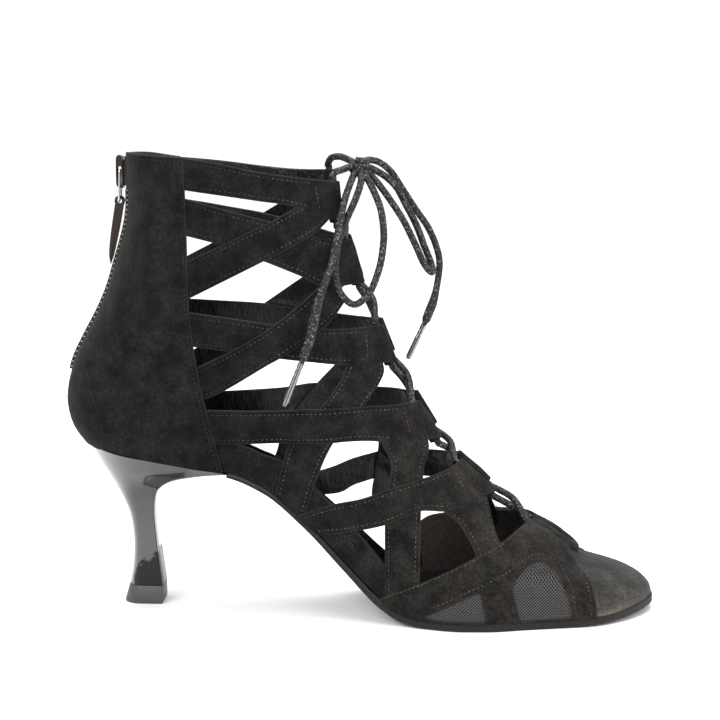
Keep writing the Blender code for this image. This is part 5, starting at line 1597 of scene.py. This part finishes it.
def toe_suede(colours):
    """Suede of the toe cap: greyer, nap in clouds, painted shade up top, rubbed to bare brown fibres low on
    the outer side.
    """
    material, add, shade, where = new_surface("toe_suede_napped")
    nap = add("TexNoise", "Fac", {"Vector": where, "Scale": per_mm(1.1), "Detail": 4.0, "Roughness": 0.7})
    patches = add("TexNoise", "Fac", {"Vector": where, "Scale": per_mm(9), "Detail": 3.0, "Roughness": 0.55})
    cloud = add("MapRange", "Result", [patches, 0.38, 0.62, 0.6, 1.15])
    # Painted shade: the cap is drawn darker toward its top
    height = add("SeparateXYZ", "Z", [where])
    painted_shade_up = add("MapRange", "Result", [height, 0.01, 0.022, 1.2, 0.5])
    tone = add("Math", "Value", [cloud, painted_shade_up], operation="MULTIPLY")
    fibres = add("MapRange", "Result", [nap, 0.3, 0.7, 1.5, 0.4])
    tone = add("Math", "Value", [tone, fibres], operation="MULTIPLY")
    base = add("VectorMath", "Vector", {0: colours.toe_suede, "Scale": tone}, operation="SCALE")
    rubs = add("TexNoise", "Fac", {"Vector": where, "Scale": per_mm(3.5), "Detail": 4.0, "Roughness": 0.7})
    patch = add("MapRange", "Result", [rubs, 0.36, 0.6, 0.1, 0.9])
    mark = add("Attribute", "Fac", [], attribute_name="mark")
    worn = add("Math", "Value", [mark, patch], operation="MULTIPLY")
    base = add("Mix", 2, {0: worn, 6: base, 7: opaque(colours.scuff)}, data_type="RGBA")
    brush(add, shade, where, base, nap, 0.06)
    return material


def lining(colours):
    """Glazed calf lining: black and glossy, with fine cross wrinkles."""
    material, add, shade, where = new_surface("lining_glazed_calf")
    tall = add("Mapping", "Vector", {"Vector": where, "Scale": (1.0, 1.0, 0.35)})
    wrinkle = add("TexNoise", "Fac", {"Vector": tall, "Scale": per_mm(1.2), "Detail": 3.0, "Roughness": 0.6})
    fold = add("TexNoise", "Fac", {"Vector": where, "Scale": per_mm(6), "Detail": 2.0, "Roughness": 0.5})
    folded = add("Bump", "Normal", {"Height": fold, "Distance": 0.0008, "Strength": 0.7})
    shade({
        "Base Color": opaque(colours.lining), "Specular IOR Level": 0.35,
        "Roughness": add("MapRange", "Result", [wrinkle, 0.3, 0.7, 0.25, 0.4]),
        "Coat Weight": 0.25, "Coat Roughness": 0.15,
        "Normal": add("Bump", "Normal", {
            "Height": wrinkle, "Distance": 0.0007, "Strength": 1.0, "Normal": folded,
        }),
    })
    return material


def vamp_lining(colours):
    """Buffed split lining of the vamp: brownish black and matte."""
    material, add, shade, where = new_surface("vamp_lining_buffed_split")
    nap = add("TexNoise", "Fac", {"Vector": where, "Scale": per_mm(1.2), "Detail": 4.0, "Roughness": 0.7})
    tone = add("MapRange", "Result", [nap, 0.3, 0.7, 1.4, 0.6])
    base = add("VectorMath", "Vector", {0: colours.vamp_lining, "Scale": tone}, operation="SCALE")
    shade({
        "Base Color": base, "Roughness": 0.9, "Specular IOR Level": 0.15, "Sheen Weight": 0.05,
        "Normal": add("Bump", "Normal", {"Height": nap, "Distance": 0.0002, "Strength": 0.6}),
    })
    return material


def footbed(colours):
    """Patent-finished footbed leather: mirror-like in patches, soft where the foot has rubbed it."""
    material, add, shade, where = new_surface("footbed_patent_leather")
    rub = add("TexNoise", "Fac", {"Vector": where, "Scale": per_mm(9), "Detail": 3.0, "Roughness": 0.55})
    grain = add("TexNoise", "Fac", {"Vector": where, "Scale": per_mm(4), "Detail": 3.0, "Roughness": 0.6})
    shade({
        "Base Color": opaque(colours.footbed), "Coat Weight": 0.8, "Coat Roughness": 0.08, "Coat IOR": 1.7,
        "Roughness": add("MapRange", "Result", [rub, 0.4, 0.62, 0.12, 0.3]),
        "Normal": add("Bump", "Normal", {"Height": grain, "Distance": 0.0003, "Strength": 0.35}),
    })
    return material


def sole(colours):
    """Split-suede sole: dark, fuzzy, a little lighter where fibres stand up."""
    material, add, shade, where = new_surface("sole_split_suede")
    fuzz = add("TexNoise", "Fac", {"Vector": where, "Scale": per_mm(0.8), "Detail": 4.0, "Roughness": 0.75})
    raised = add("MapRange", "Result", [fuzz, 0.4, 0.75])
    light = opaque(colours.sole, 2.2)
    shade({
        "Base Color": add("Mix", 2, {0: raised, 6: opaque(colours.sole), 7: light}, data_type="RGBA"),
        "Roughness": 1.0, "Specular IOR Level": 0.1, "Sheen Weight": 0.15,
        "Normal": add("Bump", "Normal", {"Height": fuzz, "Distance": 0.0005, "Strength": 0.9}),
    })
    return material


def lacquer(colours):
    """Sprayed heel lacquer: black under a hard clear coat that mirrors the room; no coat low down, as painted
    shade.
    """
    material, add, shade, where = new_surface("heel_sprayed_lacquer")
    spray = add("TexNoise", "Fac", {"Vector": where, "Scale": per_mm(3), "Detail": 1.0, "Roughness": 0.4})
    peel = add("Bump", "Normal", {"Height": spray, "Distance": 0.00004, "Strength": 0.35})
    along = add("SeparateXYZ", "X", [where])
    height = add("SeparateXYZ", "Z", [where])
    waver = add("TexNoise", "Fac", {"Vector": where, "Scale": per_mm(3), "Detail": 2.0, "Roughness": 0.5})
    edge = add("MapRange", "Result", [waver, 0.3, 0.7, -0.0025, 0.0025])
    # The coat-free patch of painted shade leaves the back edge bright and ends higher at the breast
    for row in DARK_REFLECTION_EDGE:
        rise = add("MapRange", "Result", [along, *row])
        edge = add("Math", "Value", [edge, rise], operation="ADD")
    above = add("Math", "Value", [height, edge], operation="SUBTRACT")
    shade({
        "Base Color": opaque(colours.lacquer), "Roughness": 0.25, "Specular IOR Level": 0.28,
        "Coat Weight": add("MapRange", "Result", [above, -0.0006, 0.0006]), "Coat Roughness": 0.07,
        "Coat IOR": 1.78, "Normal": peel, "Coat Normal": peel,
    })
    return material


def lift(colours):
    """Moulded top lift: satin grey with faint level grinding lines."""
    material, add, shade, where = new_surface("top_lift_moulded")
    level = add("Mapping", "Vector", {"Vector": where, "Scale": (0.06, 0.06, 1.0)})
    ground = add("TexNoise", "Fac", {"Vector": level, "Scale": per_mm(0.5), "Detail": 3.0, "Roughness": 0.6})
    lines = add("MapRange", "Result", [ground, 0.35, 0.7, 0.0, 0.5])
    dark = opaque(colours.lift, 0.6)
    shade({
        "Base Color": add("Mix", 2, {0: lines, 6: opaque(colours.lift), 7: dark}, data_type="RGBA"),
        "Roughness": 0.48,
        "Normal": add("Bump", "Normal", {"Height": ground, "Distance": 0.0001, "Strength": 0.4}),
    })
    return material


def net(colours):
    """Nylon mesh yarn: grey, with a slight shine and twist."""
    material, add, shade, where = new_surface("net_nylon_woven")
    twist = add("TexNoise", "Fac", {"Vector": where, "Scale": per_mm(0.5), "Detail": 2.0, "Roughness": 0.6})
    raised = add("MapRange", "Result", [twist, 0.35, 0.65])
    dark = opaque(colours.net, 0.5)
    shade({
        "Base Color": add("Mix", 2, {0: raised, 6: dark, 7: opaque(colours.net)}, data_type="RGBA"),
        "Roughness": 0.5,
        "Normal": add("Bump", "Normal", {"Height": twist, "Distance": 0.0001, "Strength": 0.5}),
    })
    return material


def backing(colours):
    """Black felted cloth behind the mesh."""
    material, add, shade, where = new_surface("backing_felt")
    felt = add("TexNoise", "Fac", {"Vector": where, "Scale": per_mm(0.6), "Detail": 3.0, "Roughness": 0.7})
    shade({
        "Base Color": opaque(colours.net_back), "Roughness": 0.95,
        "Normal": add("Bump", "Normal", {"Height": felt, "Distance": 0.0002, "Strength": 0.6}),
    })
    return material


def thread(colours):
    """Polyester sewing thread: greyish brown, almost as dark as the suede by the counter."""
    material, add, shade, where = new_surface("thread_twisted_polyester")
    mark = add("Attribute", "Fac", [], attribute_name="mark")
    twist = add("TexNoise", "Fac", {"Vector": where, "Scale": per_mm(0.4), "Detail": 2.0, "Roughness": 0.6})
    dark = opaque(colours.thread_dark)
    shade({
        "Base Color": add("Mix", 2, {0: mark, 6: dark, 7: opaque(colours.thread)}, data_type="RGBA"),
        "Roughness": 0.7, "Specular IOR Level": 0.2,
        "Normal": add("Bump", "Normal", {"Height": twist, "Distance": 0.00008, "Strength": 0.5}),
    })
    return material


def tape(colours):
    """Zip tape: black twill with slanting ribs."""
    material, add, shade, where = new_surface("zip_tape_twill")
    twill = {"Vector": where, "Scale": per_mm(0.8) / math.pi, "Distortion": 0.4}
    ribs = add("TexWave", "Fac", twill, bands_direction="DIAGONAL")
    shade({
        "Base Color": opaque(colours.tape), "Roughness": 0.8,
        "Normal": add("Bump", "Normal", {"Height": ribs, "Distance": 0.00015, "Strength": 0.6}),
    })
    return material


def metal(name, colour, rough, depth):
    """Metal with a soft, uneven polish, and what adds to it and sets its shader."""
    material, add, shade, where = new_surface(name)
    polish = add("TexNoise", "Fac", {"Vector": where, "Scale": per_mm(1.2), "Detail": 3.0, "Roughness": 0.6})
    shade({
        "Base Color": opaque(colour), "Metallic": 1.0,
        "Roughness": add("MapRange", "Result", [polish, 0.3, 0.7, 0.7 * rough, 1.3 * rough]),
        "Normal": add("Bump", "Normal", {"Height": polish, "Distance": depth, "Strength": 0.3}),
    })
    return material, add, shade


def gunmetal(colours):
    """Dark plated zip parts, brownish black with a dull shine."""
    return metal("zip_gunmetal_plated", colours.gunmetal, 0.32, 0.00004)[0]


def nickel(colours):
    """Nickel-plated teeth, grey and fairly bright."""
    return metal("zip_nickel_teeth", colours.nickel, 0.25, 0.00002)[0]


def wire(colours):
    """Bright nickel wire with sharp highlights."""
    return metal("zip_nickel_wire", colours.wire, 0.16, 0.00002)[0]


def aglet(colours):
    """Rolled and crimped tin-plated tips with a dark seam."""
    material, add, shade = metal("aglet_rolled_tinplate", colours.aglet, 0.2, 0.00003)
    mark = add("Attribute", "Fac", [], attribute_name="mark")
    seam = opaque(colours.aglet, 0.05)
    shade({"Base Color": add("Mix", 2, {0: mark, 6: opaque(colours.aglet), 7: seam}, data_type="RGBA")})
    return material


def lace(colours):
    """Waxed cotton braid: dark in its hollows, with a painted highlight speckled over its raised strands."""
    material, add, shade, where = new_surface("lace_waxed_braid")
    mark = add("Attribute", "Fac", [], attribute_name="mark")
    speck = add("TexNoise", "Fac", {"Vector": where, "Scale": per_mm(0.9), "Detail": 2.0, "Roughness": 0.6})
    # Painted highlight: pale speckles only on the raised strands of the braid
    rubbed = add("MapRange", "Result", [speck, 0.53, 0.65])
    raised = add("Math", "Value", [mark, rubbed], operation="MULTIPLY")
    light = opaque(colours.lace_highlight)
    shade({
        "Base Color": add("Mix", 2, {0: raised, 6: opaque(colours.lace), 7: light}, data_type="RGBA"),
        "Roughness": add("MapRange", "Result", [speck, 0.3, 0.7, 0.45, 0.65]), "Specular IOR Level": 0.25,
        "Normal": add("Bump", "Normal", {"Height": speck, "Distance": 0.00015, "Strength": 0.6}),
    })
    return material


def paper(colours):
    """Matte studio paper with hardly any tooth."""
    material, add, shade, where = new_surface("floor_studio_paper")
    tooth = add("TexNoise", "Fac", {"Vector": where, "Scale": per_mm(2), "Detail": 2.0, "Roughness": 0.5})
    shade({
        "Base Color": opaque(colours.floor), "Roughness": 0.95, "Specular IOR Level": 0.1,
        "Normal": add("Bump", "Normal", {"Height": tooth, "Distance": 0.00005, "Strength": 0.1}),
    })
    return material


FINISHES = (
    suede, lining, vamp_lining, footbed, toe_suede, sole, lacquer, lift, net, backing, thread, tape,
    gunmetal, nickel, wire, aglet, lace, paper,
)
finish_makers = {make.__name__: make for make in FINISHES}
made_finishes = {}


def finish(key):
    """The material of that kind, made when it is first needed."""
    if key not in made_finishes:
        made_finishes[key] = finish_makers[key](bpy.context.scene.shoe_colours)
    return made_finishes[key]


def make_camera():
    a = math.radians(CAMERA_AZIMUTH)
    e = math.radians(CAMERA_ELEVATION)
    back = Vector((math.sin(a) * math.cos(e), -math.cos(a) * math.cos(e), math.sin(e)))
    data = bpy.data.cameras.new("camera")
    data.lens = CAMERA_LENS
    data.sensor_width = SENSOR_WIDTH
    camera = linked("camera", data)
    camera.location = Vector(CAMERA_TARGET) + CAMERA_DISTANCE * back
    camera.rotation_mode = "QUATERNION"
    camera.rotation_quaternion = (-back).to_track_quat("-Z", "Y")
    bpy.context.scene.camera = camera


def make_light(name, location, size, watts):
    """A soft box that faces the shoe."""
    data = bpy.data.lights.new(name, "AREA")
    data.shape = "RECTANGLE"
    data.size, data.size_y = size
    data.energy = watts
    light = linked(name, data)
    light.location = location
    light.rotation_mode = "QUATERNION"
    light.rotation_quaternion = (Vector(CAMERA_TARGET) - Vector(location)).to_track_quat("-Z", "Y")


def make_floor():
    """Paper that lies under the shoe and sweeps up behind it."""
    turn = np.linspace(0, math.pi / 2, 13)
    profile = [(-FLOOR_REACH, 0.0), (FLOOR_RISE_Y, 0.0)]
    for a in turn[1:]:
        profile.append((FLOOR_RISE_Y + FLOOR_RISE_R * math.sin(a), FLOOR_RISE_R * (1 - math.cos(a))))
    profile.append((FLOOR_RISE_Y + FLOOR_RISE_R, FLOOR_REACH))
    points = [(x, y, z) for y, z in profile for x in (-FLOOR_REACH, FLOOR_REACH)]
    faces = [(2 * i, 2 * i + 1, 2 * i + 3, 2 * i + 2) for i in range(len(profile) - 1)]
    mesh = bpy.data.meshes.new("studio_floor")
    mesh.from_pydata(points, [], faces)
    mesh.polygons.foreach_set("use_smooth", [True] * len(faces))
    mesh.materials.append(finish("paper"))
    linked("studio_floor", mesh)


class SHOE_OT_stage(Operator):
    """Camera, soft lights and pale floor"""

    bl_idname = "dance_shoe.stage"
    bl_label = "Stage"

    def execute(self, context):
        make_camera()
        make_floor()
        for name, (location, size, watts) in LIGHTS.items():
            make_light(name, location, size, watts)
        world = bpy.data.worlds.new("studio")
        world.use_nodes = True
        background = world.node_tree.nodes["Background"]
        background.inputs["Color"].default_value = (1.0, 1.0, 1.0, 1.0)
        background.inputs["Strength"].default_value = ROOM_LIGHT
        context.scene.world = world
        context.scene.view_settings.view_transform = "Standard"
        return {"FINISHED"}


class SHOE_OT_lace(Operator):
    """Bow, knot and the lace that runs through the tabs"""

    bl_idname = "dance_shoe.lace"
    bl_label = "Lace"

    def execute(self, context):
        make_bow()
        make_knot()
        make_lace()
        return {"FINISHED"}


class SHOE_OT_upper(Operator):
    """Counter, straps, vamp and their seams"""

    bl_idname = "dance_shoe.upper"
    bl_label = "Upper"

    def execute(self, context):
        sizes = context.scene.shoe_sizes
        make_toe_fold()
        make_toe_cap(sizes)
        for side, label in SIDES:
            stitches = Stitches(sizes)
            edges = {name: strap_edges(name, side) for name in STRAPS}
            for name in STRAPS:
                shape = add_strap(name, side, sizes, edges, stitches)
                shape.piece(f"{name}_{label}", ("suede", "lining"), "upper_suede", replaces=("upper",))
            make_counter(side, label, sizes, stitches)
            make_vamp(side, label, sizes, stitches)
            sewn = stitches.shape()
            sewn.piece(f"stitches_{label}", ("thread",), "upper_suede", replaces=("upper",), sharp=80.0)
        return {"FINISHED"}


class SHOE_OT_bottom(Operator):
    """Footbed, outsole, heel and top lift"""

    bl_idname = "dance_shoe.bottom"
    bl_label = "Sole and heel"

    def execute(self, context):
        make_insole()
        make_outsole()
        make_heel()
        return {"FINISHED"}


class SHOE_OT_zip(Operator):
    """Tape, teeth, slider, link and pull"""

    bl_idname = "dance_shoe.zip"
    bl_label = "Zip"

    def execute(self, context):
        make_zip(context.scene.shoe_sizes)
        make_slider()
        make_link()
        make_pull()
        return {"FINISHED"}


class SHOE_PT_panel(Panel):
    """Sizes, colours and build steps"""

    bl_label = "Dance Shoe"
    bl_idname = "SHOE_PT_panel"
    bl_space_type = "VIEW_3D"
    bl_region_type = "UI"
    bl_category = "Dance Shoe"

    def draw(self, context):
        for group in (context.scene.shoe_sizes, context.scene.shoe_colours):
            box = self.layout.box()
            for name in group.__annotations__:
                box.prop(group, name)
        for step in STEPS:
            self.layout.operator(step.bl_idname)


STEPS = (SHOE_OT_stage, SHOE_OT_lace, SHOE_OT_upper, SHOE_OT_bottom, SHOE_OT_zip)
CLASSES = (ShoeSizes, ShoeColours, *STEPS, SHOE_PT_panel)


def register():
    for cls in CLASSES:
        bpy.utils.register_class(cls)
    bpy.types.Scene.shoe_sizes = PointerProperty(type=ShoeSizes)
    bpy.types.Scene.shoe_colours = PointerProperty(type=ShoeColours)


def unregister():
    del bpy.types.Scene.shoe_colours
    del bpy.types.Scene.shoe_sizes
    for cls in reversed(CLASSES):
        bpy.utils.unregister_class(cls)


def main():
    register()
    bpy.ops.dance_shoe.stage()
    bpy.ops.dance_shoe.lace()
    bpy.ops.dance_shoe.upper()
    bpy.ops.dance_shoe.bottom()
    bpy.ops.dance_shoe.zip()


if __name__ == "__main__":
    main()
